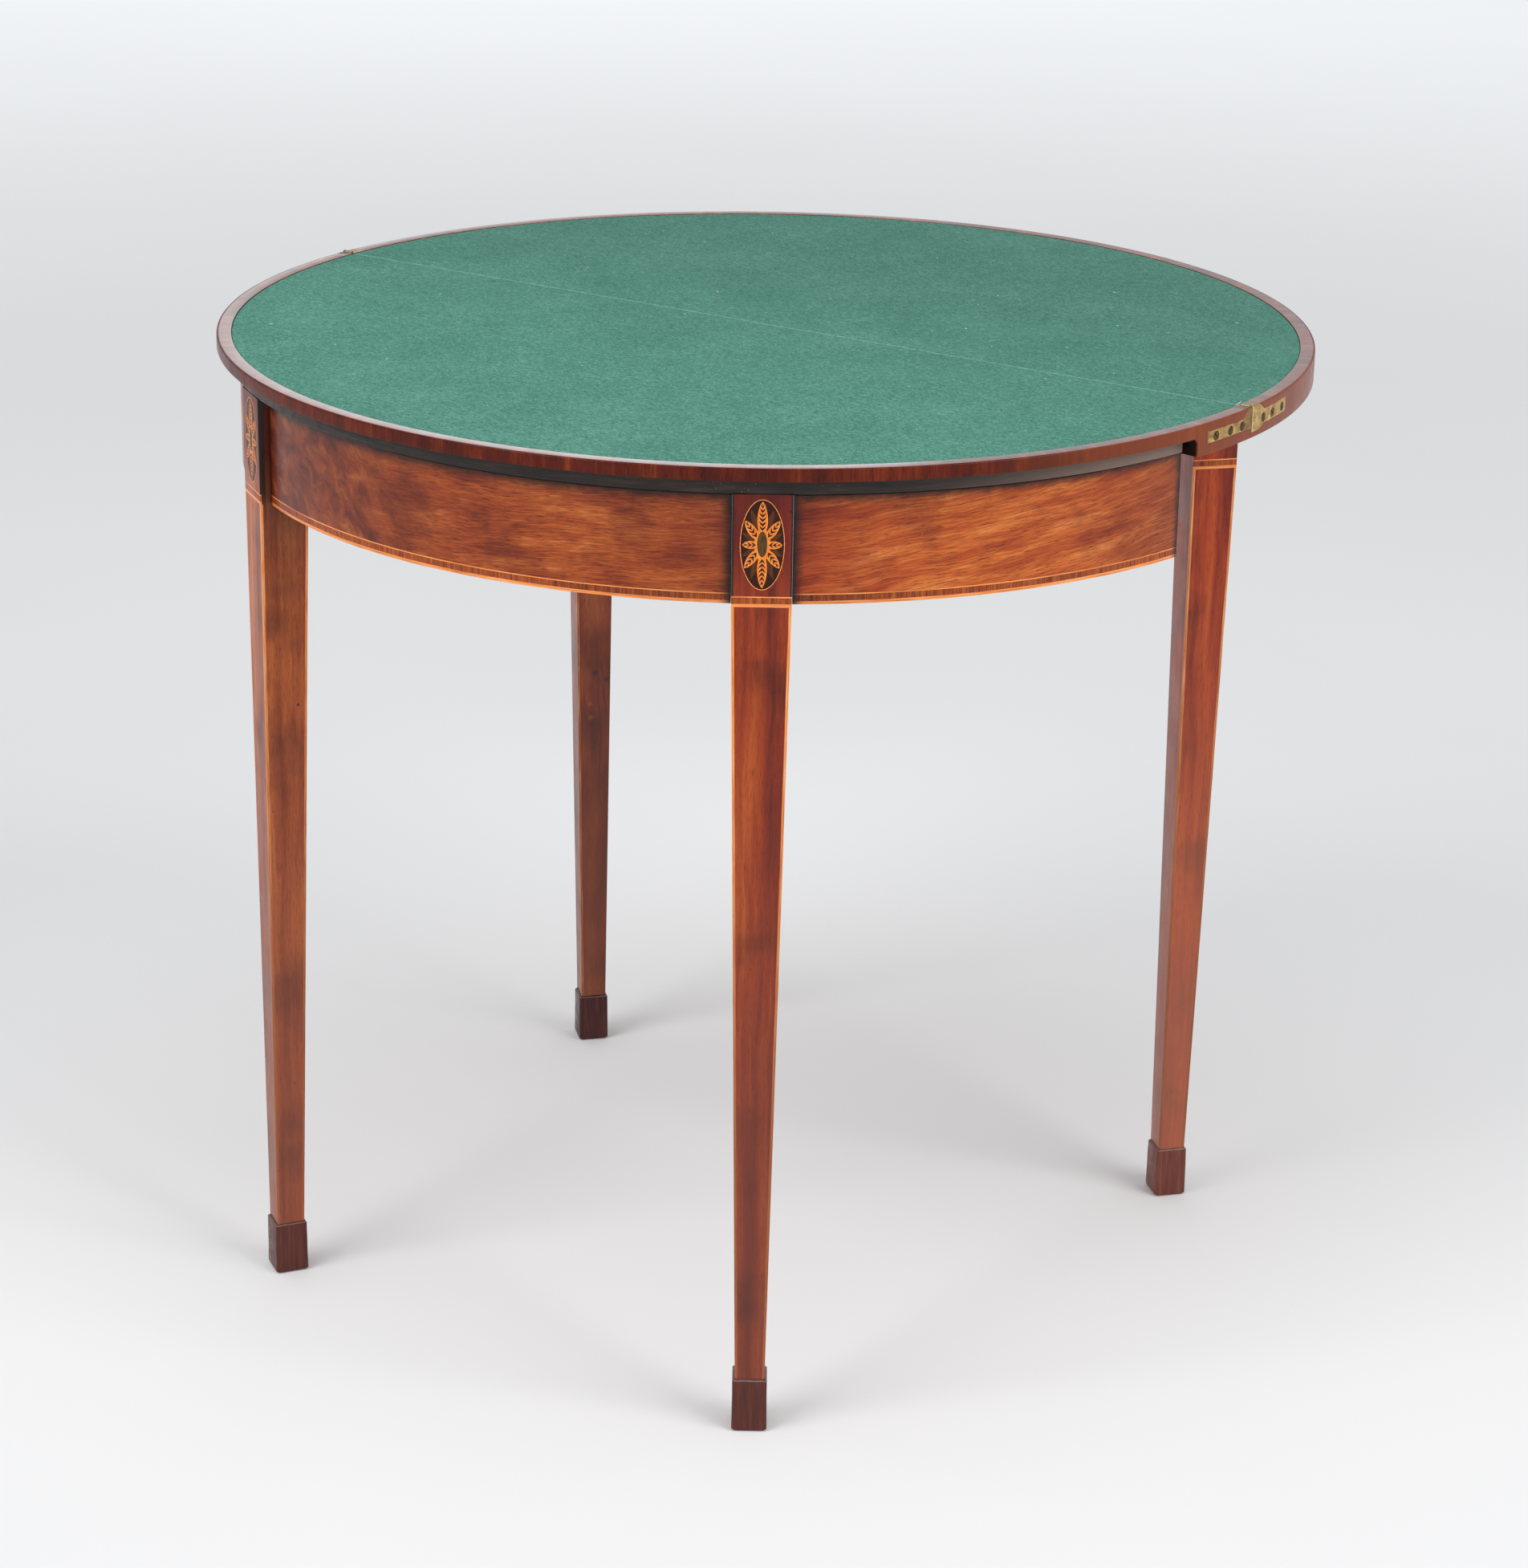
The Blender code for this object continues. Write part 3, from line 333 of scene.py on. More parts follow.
# Black wax and painted shade where the frieze meets the legs, under the leaf and at its outer ends, and painted
# shadow, black, in the leaf's rebate, in millimetres
waxAndShade = {"legDegrees": 33.7, "legHalfWidth": 21.3, "endArc": 609.0, "overTop": 2.6, "width": 9.5, "colour": "#140906",
       "shadeWidths": (15.0, 110.0), "shadeColour": "#96482a", "ragged": 9, "raggedReach": -5.0,
       "topBlend": 4.0, "endBlend": 3.0, "solid": -1.5, "rebateReach": (3.0, 0.5), "rebateFront": (-58.0, -60.0)}


def waxedAndShaded(wood):
    # how far a point is from the nearer front leg, from the leaf above and from the board's outer end, where it is
    # painted dark: part black wax, part painted shade
    aside = wood.addNode("Math", {"operation": "ABSOLUTE", 0: wood.axis("a")})[0]
    legArc = math.radians(waxAndShade["legDegrees"]) * topRadius * 1000
    fromLeg = wood.addNode("Math", {"operation": "SUBTRACT", 0: aside, 1: legArc})[0]
    fromLeg = wood.addNode("Math", {"operation": "ABSOLUTE", 0: fromLeg})[0]
    fromLeg = wood.addNode("Math", {"operation": "SUBTRACT", 0: fromLeg, 1: waxAndShade["legHalfWidth"]})[0]
    waxShadeTop = friezeTop * 1000 + waxAndShade["overTop"]
    fromTop = wood.addNode("Math", {"operation": "SUBTRACT", 0: waxShadeTop, 1: wood.axis("z")})[0]
    fromEnd = wood.addNode("Math", {"operation": "SUBTRACT", 0: waxAndShade["endArc"], 1: aside})[0]
    wood.stain(waxAndShade["shadeColour"], (fromLeg, *waxAndShade["shadeWidths"], 0.28, 0.0))
    # painted shade and black wax: dark in the corners by the legs, under the leaf and at the board's outer end
    nearest = wood.addNode("Math", {"operation": "SMOOTH_MIN", 0: fromLeg, 1: fromTop, 2: waxAndShade["topBlend"]})[0]
    nearest = wood.addNode("Math", {"operation": "SMOOTH_MIN", 0: nearest, 1: fromEnd, 2: waxAndShade["endBlend"]})[0]
    ragged = wood.marks(waxAndShade["ragged"], 3.0)
    nearest = wood.addNode("Math", {"operation": "MULTIPLY_ADD", 0: ragged, 1: waxAndShade["raggedReach"], 2: nearest})[0]
    wood.cover(waxAndShade["colour"], (nearest, waxAndShade["solid"], waxAndShade["width"] + waxAndShade["solid"], 0.93, 0.0))


# Solid mahogany of the legs: long straight grain with small dark knocks; towards the floor each leg is mixed with a
# colour of its own, a painted floor reflection that greys it, and on the rear fly leg painted shade
legWearAndLight = {"knockPitch": 22, "knocks": (0.035, 0.075), "knotRagged": 7, "fadeHeights": (620.0, 120.0),
           "headHeights": (652.0, 696.0), "headColour": "#ac3c0e", "waxWidths": (2.2, 0.4),
           "waxDepths": (3.4, 5.4), "waxHeights": (606.0, 660.0)}


def legMahogany(name, look, knocked, shift, lowPaintedLight, lowPaintedLightColour, headHalf=0.0, knots=()):
    wood = Finish(name, polished, "zxy", shift=shift)
    pores = wood.figured({**mahogany, **look})
    wood.stain("#5c2a1c", (wood.marks(70, 3.0), 0.48, 0.72, 0.0, 0.55))
    wood.speckle("#1c0d09", legWearAndLight["knockPitch"], (*legWearAndLight["knocks"], knocked, 0.0))
    for deep, height, size, hexText in knots:
        flat = wood.addNode("CombineXYZ", {1: wood.axis("y"), 2: wood.axis("z")})[0]
        far = wood.addNode("VectorMath", {"operation": "DISTANCE", 0: flat, 1: (0, deep, height)})["Value"]
        ragged = wood.marks(legWearAndLight["knotRagged"], 3.0)
        far = wood.addNode("Math", {"operation": "MULTIPLY_ADD", 0: ragged, 1: size, 2: far})[0]
        wood.cover(hexText, (far, size * 0.6, size * 1.3, 0.9, 0.0))
    if headHalf:
        # the head is redder, and black wax with painted shade lies along its arrises, where the head stands proud
        # of the frieze
        wood.stain(legWearAndLight["headColour"], (wood.axis("z"), *legWearAndLight["headHeights"], 0.0, 0.8))
        aside = wood.addNode("Math", {"operation": "ABSOLUTE", 0: wood.axis("x")})[0]
        wood.cover(waxAndShade["colour"], (aside, *(headHalf - width for width in legWearAndLight["waxWidths"])),
                   (wood.axis("y"), *legWearAndLight["waxDepths"], 0.95, 0.6), (wood.axis("z"), *legWearAndLight["waxHeights"]))
    # painted light: the lower leg mixed towards its own colour, paler and greyer as a painted floor reflection,
    # darker as painted shade on the rear leg
    wood.cover(lowPaintedLightColour, (wood.axis("z"), *legWearAndLight["fadeHeights"], 0.0, lowPaintedLight))
    return wood.polish(pores)


# Frieze veneers, saw-cut and laid on the curve: figure that shimmers, with a few pale specks
def friezeVeneer(name, tilt, shift, look, flame=None, endShade=None, nearShade=None):
    wood = Finish(name, polished, "azr", tilt, shift)
    pores = wood.figured({**mahogany, **look})
    if flame:
        # flame figure on the left, which turns over into the calm grain
        calm = wood.colour
        sloped = wood.addNode("Mapping", {0: wood.space, "Rotation": (0, 0, math.radians(flame["tilt"]))})[0]
        wood.figured({**mahogany, **flame}, sloped)
        ragged = wood.marks(flame["ragged"], 3.0, space=sloped)
        place = wood.addNode("Math", {"operation": "MULTIPLY_ADD", 0: ragged, 1: flame["raggedReach"],
                                      2: wood.axis("a")})[0]
        flamed = wood.where((place, *flame["turnover"], 1.0, 0.0))
        wood.colour = wood.addNode("Mix", {"data_type": "RGBA", 0: flamed, 6: calm, 7: wood.colour})[2]
    wood.stain("#925038", (wood.marks(55, 4.0), 0.46, 0.7, 0.0, 0.5))
    if endShade:
        # painted shade: darker towards the panel's outer end, and darker and redder near the front leg, where less
        # sheen falls
        wood.stain("#86503e", (wood.axis("a"), *endShade, 0.0, 0.5))
        wood.stain("#d8907c", (wood.axis("a"), *nearShade, 0.0, 0.6))
    wood.speckle("#dcb48c", 17, (0.014, 0.024, 0.55, 0.0))
    waxedAndShaded(wood)
    return wood.polish(pores)


# Leaf boards, seen from below and inside the rebate: dull polish, and painted shadow, black, in the rebate
def leafMahogany():
    wood = Finish("underLeafMahogany", polished, shift=300.0)
    pores = wood.figured(mahogany)
    # painted shadow: black where the rebate lies in shade
    limits = [friezeRadius * 1000 - reach for reach in waxAndShade["rebateReach"]]
    wood.cover(waxAndShade["colour"], (wood.axis("r"), *limits), (wood.axis("y"), *waxAndShade["rebateFront"]))
    return wood.polish(pores, roughness=(0.45, 0.65))


# Crossbanding: short veneers laid side by side, so the grain stands up and each piece has its own tone
def crossbanding(name, order, stops, patch, fine, coarse, warmth=0.4, gloss=(), share=0.5, bump=0.1,
                 litEnd=None, beside=False):
    wood = Finish(name, {**polished, **dict(gloss)}, order)
    pores = wood.figured({**mahogany, "stops": stops, "figure": (60.0, coarse, 60.0), "streak": (60.0, fine, 60.0),
                          "streakShare": share, "pore": (6.0, 0.6, 6.0), "poreDepth": 0.5, "warp": (0.0, 0.0, 0.0)})
    along = wood.addNode("SeparateXYZ", {0: wood.space})[1]
    counted = wood.addNode("Math", {"operation": "DIVIDE", 0: along, 1: patch})[0]
    counted = wood.addNode("Math", {"operation": "FLOOR", 0: counted})[0]
    tone = wood.addNode("TexWhiteNoise", {"noise_dimensions": "1D", "W": counted})[0]
    wood.stain("#7a3a22", (tone, 0.3, 1.0, 0.0, warmth))
    if litEnd:
        # painted light: paler and more orange towards the right end, which faces a lamp
        wood.cover("#b4603a", (wood.axis("x"), *litEnd))
    if beside:
        waxedAndShaded(wood)
    return wood.polish(pores, bump=bump)


# Boxwood stringing: a close pale wood gone orange under the polish, with dirt along its length
def boxwood(name, order, light="#fa9648", dark="#c9662a", lowPaintedLight=0.0, beside=False):
    wood = Finish(name, {**polished, "Coat Weight": 0.2}, order)
    flow = wood.toned([(0.32, dark), (0.5, light), (0.72, "#ffbc80")], (34.0, 1.2, 1.2), 4.0, 0.65)
    wood.cover("#7a3a17", (wood.marks(6, 4.0, 0.7), 0.6, 0.78, 0.0, 0.45))
    # painted light: the string darker and greyer towards the floor, as the legs are
    if lowPaintedLight:
        wood.cover("#84412a", (wood.axis("z"), 630.0, 180.0, lowPaintedLight * 0.1, lowPaintedLight))
    if beside:
        waxedAndShaded(wood)
    return wood.polish(flow, 12.0, (0.28, 0.42), 0.05)


# Stained and ebonised wood: black or dark brown, with settled dust and painted sheen, or a painted highlight line
# under its upper edge
def stainedWood(name, order, stops, dustAndSheen=0.0, edge=0.0):
    wood = Finish(name, {**polished, "Coat Weight": 0.15}, order)
    flow = wood.toned(stops, (40.0, 2.6, 2.6), 4.0, 0.6)
    if dustAndSheen:
        wood.speckle("#a9a49c", 2.6, (0.09, 0.16, 1.0, 0.0), (wood.marks(55), 0.5, 0.68, 0.0, dustAndSheen))
        # dust and painted sheen: paler and greyer towards the strip's right end
        wood.cover("#a08476", (wood.axis("a"), 330.0, 580.0, 0.0, 0.6))
    if edge:
        # painted highlight: a pale grey line just under the upper edge
        ragged = wood.marks(8, 3.0)
        line = wood.addNode("Math", {"operation": "MULTIPLY_ADD", 0: ragged, 1: 0.8, 2: wood.axis("z")})[0]
        wood.cover("#a39c98", (line, edge - 0.9, edge - 0.6), (line, edge - 0.3, edge, 0.34, 0.0))
    return wood.polish(flow, 9.0, (0.3, 0.5), 0.2)


# Bare secondary timber: pale straight grain gone brown with age, matt and dusty
def bareTimber(name, order, stops):
    wood = Finish(name, {"Roughness": 0.8, "IOR": 1.45}, order)
    pores = wood.figured({**mahogany, "stops": stops, "figure": (300.0, 9.0, 9.0), "streak": (200.0, 2.0, 2.0),
                          "poreDepth": 0.35, "poreColour": "#8a6a48", "warp": (14.0, 8.0, 8.0)})
    wood.stain("#6b4a30", (wood.marks(80, 4.0), 0.5, 0.75, 0.0, 0.6))
    return wood.polish(pores, 30.0, (0.68, 0.88), 0.3)


# Marquetry woods: small flat pieces, each close-grained and of one tone
def marquetry(name, *stops):
    wood = Finish(name, {**polished, "Specular IOR Level": 0.16}, "zxy")
    flow = wood.toned(stops, (9.0, 0.9, 0.9), 4.0, 0.6)
    return wood.polish(flow, 8.0, (0.28, 0.4), 0.04)


# Baize, wool woven and milled into felt: a matt blue-green nap with paler fibres, worn along the fold
baizeLook = {"stops": [(0.1, "#316957"), (0.5, "#4b8777"), (0.95, "#72aa98")], "sheen": "#8ec4b2",
             "flapShade": "#d8d8d8", "worn": "#9cc4b4", "foldWidth": 1.5, "specks": "#b9c7a4"}


def woolBaize():
    felt = Finish("woolBaize", {"Roughness": 1.0, "IOR": 1.3, "Sheen Weight": 0.2, "Sheen Roughness": 0.5,
                                "Sheen Tint": linear(baizeLook["sheen"])})
    nap = felt.marks(1.5, 6.0, 0.75)
    fibres, patches = felt.marks((5.0, 0.8, 0.8), 4.0, 0.7), felt.marks(60, 4.0)
    pile = felt.addNode("Math", {"operation": "MULTIPLY_ADD", 0: fibres, 1: 0.7, 2: nap})[0]
    pile = felt.addNode("Math", {"operation": "MULTIPLY_ADD", 0: patches, 1: 0.12, 2: pile})[0]
    pile = felt.where((pile, 0.68, 1.14))
    felt.colour = felt.addNode("ValToRGB", {0: pile, "stops": baizeLook["stops"]})[0]
    # painted shade: the cloth darker towards the back, over the flap's half
    felt.stain(baizeLook["flapShade"], (felt.axis("y"), -330.0, 330.0, 0.0, 0.75))
    fromFold = felt.addNode("Math", {"operation": "ABSOLUTE", 0: felt.axis("y")})[0]
    felt.cover(baizeLook["worn"], (fromFold, 0.4, baizeLook["foldWidth"], 0.6, 0.0), (nap, 0.35, 0.6, 0.35, 1.0))
    felt.speckle(baizeLook["specks"], 38, (0.012, 0.02, 0.7, 0.0))
    return felt.done(Normal=felt.addNode("Bump", {"Strength": 0.55, "Distance": 0.0005, "Height": pile})[0])


# Cast brass, unlacquered: dull yellow where hands rub it, brown tarnish elsewhere
def agedBrass():
    metal = Finish("agedBrass", {"Metallic": 1.0, "Roughness": 0.45}, "azr")
    metal.toned([(0.36, "#e6c684"), (0.52, "#c4a064"), (0.68, "#94724a")], 9, 6.0, 0.65)
    fromFold = metal.axis("y")
    metal.cover("#6a4527", (fromFold, -17.0, -8.0, 0.0, 0.65), (fromFold, -0.4, 0.2, 1.0, 0.0))
    metal.cover("#fbe9c0", (fromFold, 0.9, 1.8, 0.7, 0.0), (fromFold, 0.1, 0.3))
    metal.cover("#b9b3a4", (metal.axis("r"), 427.2, 428.0, 0.6, 0.0))
    scratches = metal.marks((9.0, 0.35, 0.35))
    metal.cover("#e6cb8c", (scratches, 0.6, 0.75, 0.0, 0.4))
    return metal.polish(scratches, 5.0, (0.34, 0.6), 0.15)


# Steel screws, browned with age: dark, with a little rust in the slot
def brownedSteel():
    metal = Finish("brownedSteel", {"Metallic": 0.85, "Roughness": 0.5})
    rust = metal.toned([(0.35, "#54412c"), (0.55, "#6c573b"), (0.7, "#7c5030")], 2.5, 5.0)
    return metal.polish(rust, 2.0, (0.4, 0.65), 0.25)


# Loose wool and dust: cream fibres, matt
def lintWool():
    wool = Finish("lintWool", {"Roughness": 0.95, "Sheen Weight": 0.3})
    wool.toned([(0.35, "#d8cfae"), (0.65, "#f1ecd8")], 3)
    return wool.done()


edgeStops = [(0.34, "#4a160a"), (0.47, "#5a1a0a"), (0.58, "#6e260c"), (0.72, "#8e4018")]
borderStops = [(0.30, "#4a1e12"), (0.46, "#743322"), (0.58, "#8f4630"), (0.74, "#b06748")]
bandStops = [(0.34, "#5c1e0a"), (0.46, "#944012"), (0.56, "#b6561c"), (0.70, "#d8803c")]
flame = {
    "calm": {"figure": (70.0, 16.0, 16.0), "streak": (20.0, 1.3, 4.0), "streakShare": 0.42,
             "warp": (24.0, 14.0, 0.0), "poreDepth": 0.6,
             "stops": [(0.34, "#6a220c"), (0.46, "#973d13"), (0.56, "#b5571e"), (0.68, "#d07c40")]},
    "figured": {"figure": (26.0, 15.0, 15.0), "streak": (6.0, 2.4, 2.4), "streakShare": 0.28,
                "warpSize": 30.0, "warp": (40.0, 30.0, 0.0), "tilt": 40.0,
                "turnover": (-30.0, 100.0), "ragged": (60.0, 14.0, 14.0), "raggedReach": 160.0,
                "stops": [(0.36, "#561f0c"), (0.46, "#7a2e10"), (0.56, "#924218"), (0.68, "#b2602e")]},
}
streaked = {"figure": (90.0, 12.0, 12.0), "streak": (22.0, 1.3, 4.0), "streakShare": 0.42,
            "warp": (30.0, 20.0, 0.0), "poreDepth": 0.6}
rightStops = [(0.34, "#98380f"), (0.46, "#b8511b"), (0.56, "#d06d2b"), (0.68, "#e48f50")]
leftStops = [(0.34, "#7c280e"), (0.46, "#a64416"), (0.56, "#bc5a20"), (0.68, "#d68044")]
footHighlight = 43.1        # height in millimetres of the painted highlight line round the top of the feet
finishes = {
    # the edge banding carries painted light at its right end
    "edge": crossbanding("mahoganyEdgeBanding", "zar", edgeStops, 74.0, 1.6, 13.0, 0.25,
                         {"Specular IOR Level": 0.14, "Coat Weight": 0.06}, 0.3, litEnd=(340.0, 428.0, 0.0, 0.36)),
    "border": crossbanding("mahoganyTopBorder", "raz", borderStops, 74.0, 1.8, 11.0, 0.2,
                           {"Coat Weight": 1.0, "Coat IOR": 1.6, "Coat Roughness": 0.14}, 0.3, 0.02),
    "band": crossbanding("friezeCrossbanding", "zar", bandStops, 47.0, 0.7, 3.2, beside=True),
    "cuff": crossbanding("legCuffCrossbanding", "zxy", bandStops, 13.0, 0.7, 3.2),
    "frontVeneer": friezeVeneer("flameMahoganyVeneer", -2.0, 40.0, flame["calm"], flame["figured"]),
    # the side panels carry painted shade at their outer ends and near the legs
    "rightVeneer": friezeVeneer("streakedMahoganyVeneer", -7.0, 210.0, {**streaked, "stops": rightStops},
                                endShade=(500.0, 612.0), nearShade=(380.0, 270.0)),
    "leftVeneer": friezeVeneer("streakedMahoganyVeneerLeft", 7.0, 610.0, {**streaked, "stops": leftStops},
                               endShade=(-500.0, -612.0), nearShade=(-380.0, -270.0)),
    "underside": leafMahogany(),
    "friezeString": boxwood("boxwoodFriezeLine", "azr", beside=True),
    "legString": boxwood("boxwoodLegString", "zxy", lowPaintedLight=0.85),
    "flyString": boxwood("boxwoodFlyLegString", "zxy", "#e48c4a", "#b45e28", 0.85),
    # painted shade: a darker copy of the string, for the rear fly leg
    "dullString": boxwood("boxwoodDullString", "zxy", "#b8663a", "#8a4526", 0.6),
    "cuffString": boxwood("boxwoodCuffLine", "xzy"),
    "strip": stainedWood("ebonisedStrip", "azr", [(0.3, "#150e0b"), (0.55, "#291e18"), (0.75, "#463428")], 0.8),
    "foot": stainedWood("stainedFootMahogany", "zxy",
                        [(0.25, "#40190f"), (0.55, "#5b271c"), (0.8, "#763a2a")], edge=footHighlight),
    # painted light and painted shade: paler and darker copies of the foot finish, for the lit right fly leg and the
    # rear left one
    "paleFoot": stainedWood("rubbedFootMahogany", "zxy",
                            [(0.25, "#55281e"), (0.55, "#723a2d"), (0.8, "#8c503e")], edge=footHighlight),
    "darkFoot": stainedWood("darkStainedFootMahogany", "zxy",
                            [(0.25, "#2c0f0b"), (0.55, "#431a16"), (0.8, "#5a2a20")], edge=footHighlight),
    "petal": marquetry("satinwoodPetal", (0.3, "#de6c1c"), (0.5, "#f08630"), (0.75, "#fca858")),
    "vein": marquetry("scorchedVein", (0.35, "#180803"), (0.65, "#2e1205")),
    "ground": marquetry("purplewoodGround", (0.3, "#240803"), (0.55, "#341006"), (0.75, "#48190a")),
    "shade": marquetry("shadedPetal", (0.35, "#43200f"), (0.65, "#643619")),
    "eye": marquetry("stainedHollyEye", (0.34, "#382210"), (0.5, "#5a3e1a"), (0.7, "#765628")),
    "baize": woolBaize(),
    "brass": agedBrass(),
    "steel": brownedSteel(),
    "lint": lintWool(),
    "core": bareTimber("agedPine", "azr", [(0.3, "#8a5a30"), (0.5, "#a9743f"), (0.72, "#c08f56")]),
    "rail": bareTimber("agedBeech", "xyz", [(0.3, "#7a4b2a"), (0.5, "#94613a"), (0.72, "#ad7b4e")]),
}
print("finishes mixed:", len(finishes))


# Leaves: edge banding and top border, swept round the half circle

leafEdge = {
    "thickness": 0.00155, "topEase": 0.0013, "bottomEase": 0.0005, "innerEase": 0.0003,
    "stepDegrees": 1.0, "rebateEndDegrees": 80.4, "rebateCorner": 0.005, "cornerSteps": 6,
    "rebateRoom": 0.0003, "borderRoom": 0.00035,
}
rebateCeiling = stripHigh.z + leafEdge["rebateRoom"]


def onTop(radius, degrees, height, leaf=-1):
    # a point of the fixed leaf, -1, or of the flap, 1, by its angle from the middle of its curve
    turn = math.radians(degrees)
    return (radius * math.sin(turn), leaf * max(radius * math.cos(turn), foldGap), height)


def edgeStations(leaf):
    # angle and lowest height round a leaf's edge, which the rebate lifts on the fixed leaf
    count = round(90 / leafEdge["stepDegrees"])
    whole = [index * leafEdge["stepDegrees"] for index in range(count + 1)]
    if leaf > 0:
        half = [(angle, leafUnderside) for angle in whole]
    else:
        end, corner = leafEdge["rebateEndDegrees"], leafEdge["rebateCorner"]
        start = end - math.degrees(corner / topRadius)
        half = [(angle, rebateCeiling) for angle in whole if angle < start]
        for step in range(leafEdge["cornerSteps"] + 1):
            turn = math.pi / 2 * step / leafEdge["cornerSteps"]
            half.append((start + (end - start) * math.sin(turn), rebateCeiling - corner * (1 - math.cos(turn))))
        half.append((end + 0.01, leafUnderside))
        half += [(angle, leafUnderside) for angle in whole if angle > end + 0.5]
    return [(-angle, low) for angle, low in half[:0:-1]] + half


def sweptBand(stations, corners, leaf=-1):
    # corners(low) gives (radius, height, ease) corners of the band's section
    return ringSweep([[onTop(radius, angle, height, leaf) for radius, height in easedOutline(corners(low))]
                      for angle, low in stations])


# Hinge plates, let into the edge at both ends of the fold. -1 is the fixed leaf's and 1 the flap's

hinge = {
    "length": {-1: 0.0600, 1: 0.0623}, "topDepth": {-1: 0.0066, 1: 0.0053},
    "bottomDepth": {-1: 0.0155, 1: 0.0162}, "rootDepth": {-1: 0.0164, 1: 0.0195},
    "rootLength": {-1: 0.0050, 1: 0.0110}, "slopeLength": {-1: 0.0090, 1: 0.0110},
    "tongueLength": {-1: 0.0100, 1: 0.0135},
    "screws": {-1: (0.0147, 0.0310, 0.0500), 1: (0.0190, 0.0355, 0.0550)},
    "screwDepth": 0.0114, "thickness": 0.0020, "ease": 0.00025, "tongueWidth": 0.0095,
    "tongueThickness": 0.0016, "barrelRadius": 0.0013, "pinRadius": 0.0006, "knuckles": 3,
    "foldRoom": 0.0004, "headRadius": 0.0034, "headDepth": 0.0018, "headEase": 0.0002, "headCone": 0.4,
    "slotWidth": 0.0008, "slotDepth": 0.0007, "slotRise": 0.001, "fit": 0.00012, "axisLift": 0.00015,
    "tongueCorner": 0.0008, "tongueSink": 0.00002,
    "room": 0.0002, "pinRoom": 0.0001, "headSink": 0.0001, "screwHole": (0.004, 0.001), "plateSteps": (8, 10),
    # along the fold, in knuckles from the end nearer the table's middle
    "knuckleGap": 0.0006, "knuckleClear": 0.02, "barrelEnds": (-0.05, 3.5), "pinEnds": (-0.5, 3.5),
}
axisHeight = topHeight + hinge["axisLift"]


def plateDepths(leaf, distance):
    # how far a plate's upper and lower edges lie under the top, at a distance from the fold
    share = min(max((distance - hinge["rootLength"][leaf]) / hinge["slopeLength"][leaf], 0), 1)
    eased = share * share * (3 - 2 * share)
    root, bottom = hinge["rootDepth"][leaf], hinge["bottomDepth"][leaf]
    return hinge["topDepth"][leaf] * eased, root + (bottom - root) * eased


def plateBand(side, leaf, grow, inner, outer, ease):
    # a plate's curved part on the leaf's edge; grow makes it the cutter for its own recess
    root, slope, length = (hinge[key][leaf] for key in ("rootLength", "slopeLength", "length"))
    bend, straight = hinge["plateSteps"]
    stops = [0, root / 2, root, *[root + slope * step / bend for step in range(1, bend + 1)],
             *[root + slope + (length - root - slope) * step / straight for step in range(1, straight + 1)]]
    stops[0] = 0 if grow else hinge["foldRoom"]
    stops[-1] += grow
    rings = []
    for distance in stops:
        angle = math.degrees(math.acos(distance / topRadius)) * side
        topDepth, lowDepth = plateDepths(leaf, distance)
        high = topHeight - topDepth + grow + (overrun if grow and topDepth == 0 else 0)
        low = topHeight - lowDepth - grow
        corners = [(outer, high, ease), (outer, low, ease), (inner, low, 0), (inner, high, 0)]
        rings.append([onTop(radius, angle, height, leaf) for radius, height in easedOutline(corners)])
    return ringSweep(rings)


def tongue(side, leaf, grow):
    # the flat arm of a plate on top of the leaf
    near, far = topRadius - hinge["tongueWidth"] - grow, topRadius - hinge["thickness"] / 2
    length, low = hinge["tongueLength"][leaf] + grow, topHeight - hinge["tongueThickness"] - grow
    high, corner = topHeight - hinge["tongueSink"] + (overrun if grow else 0), hinge["tongueCorner"]
    corners = [(side * near, leaf * foldGap, 0), (side * far, leaf * foldGap, 0),
               (side * far, leaf * length, corner), (side * near, leaf * length, corner)]
    outline = easedOutline(corners)
    return ringSweep([[(x, y, z) for x, y in outline] for z in (low, high)])


def foldBar(side, first, last, radius):
    # a round bar along the fold between two knuckle numbers, counted from the table's middle
    pitch = (hinge["tongueWidth"] - hinge["knuckleGap"]) / hinge["knuckles"]
    start = topRadius - hinge["tongueWidth"]
    near, far = ((side * (start + knuckle * pitch), 0, axisHeight) for knuckle in (first, last))
    return roundBar(near, far, radius, 28)


def screwSpot(side, leaf, distance):
    angle = math.acos(distance / topRadius)
    outward = Vector((side * math.sin(angle), leaf * math.cos(angle), 0))
    return outward, outward * topRadius + Vector((0, 0, topHeight - hinge["screwDepth"]))


def hingeCutters(side, leaf):
    fit = hinge["fit"]
    band = plateBand(side, leaf, fit, topRadius - hinge["thickness"] - fit, topRadius + overrun, 0)
    barrel = foldBar(side, *hinge["barrelEnds"], hinge["barrelRadius"] + fit)
    return [band, tongue(side, leaf, fit), barrel]


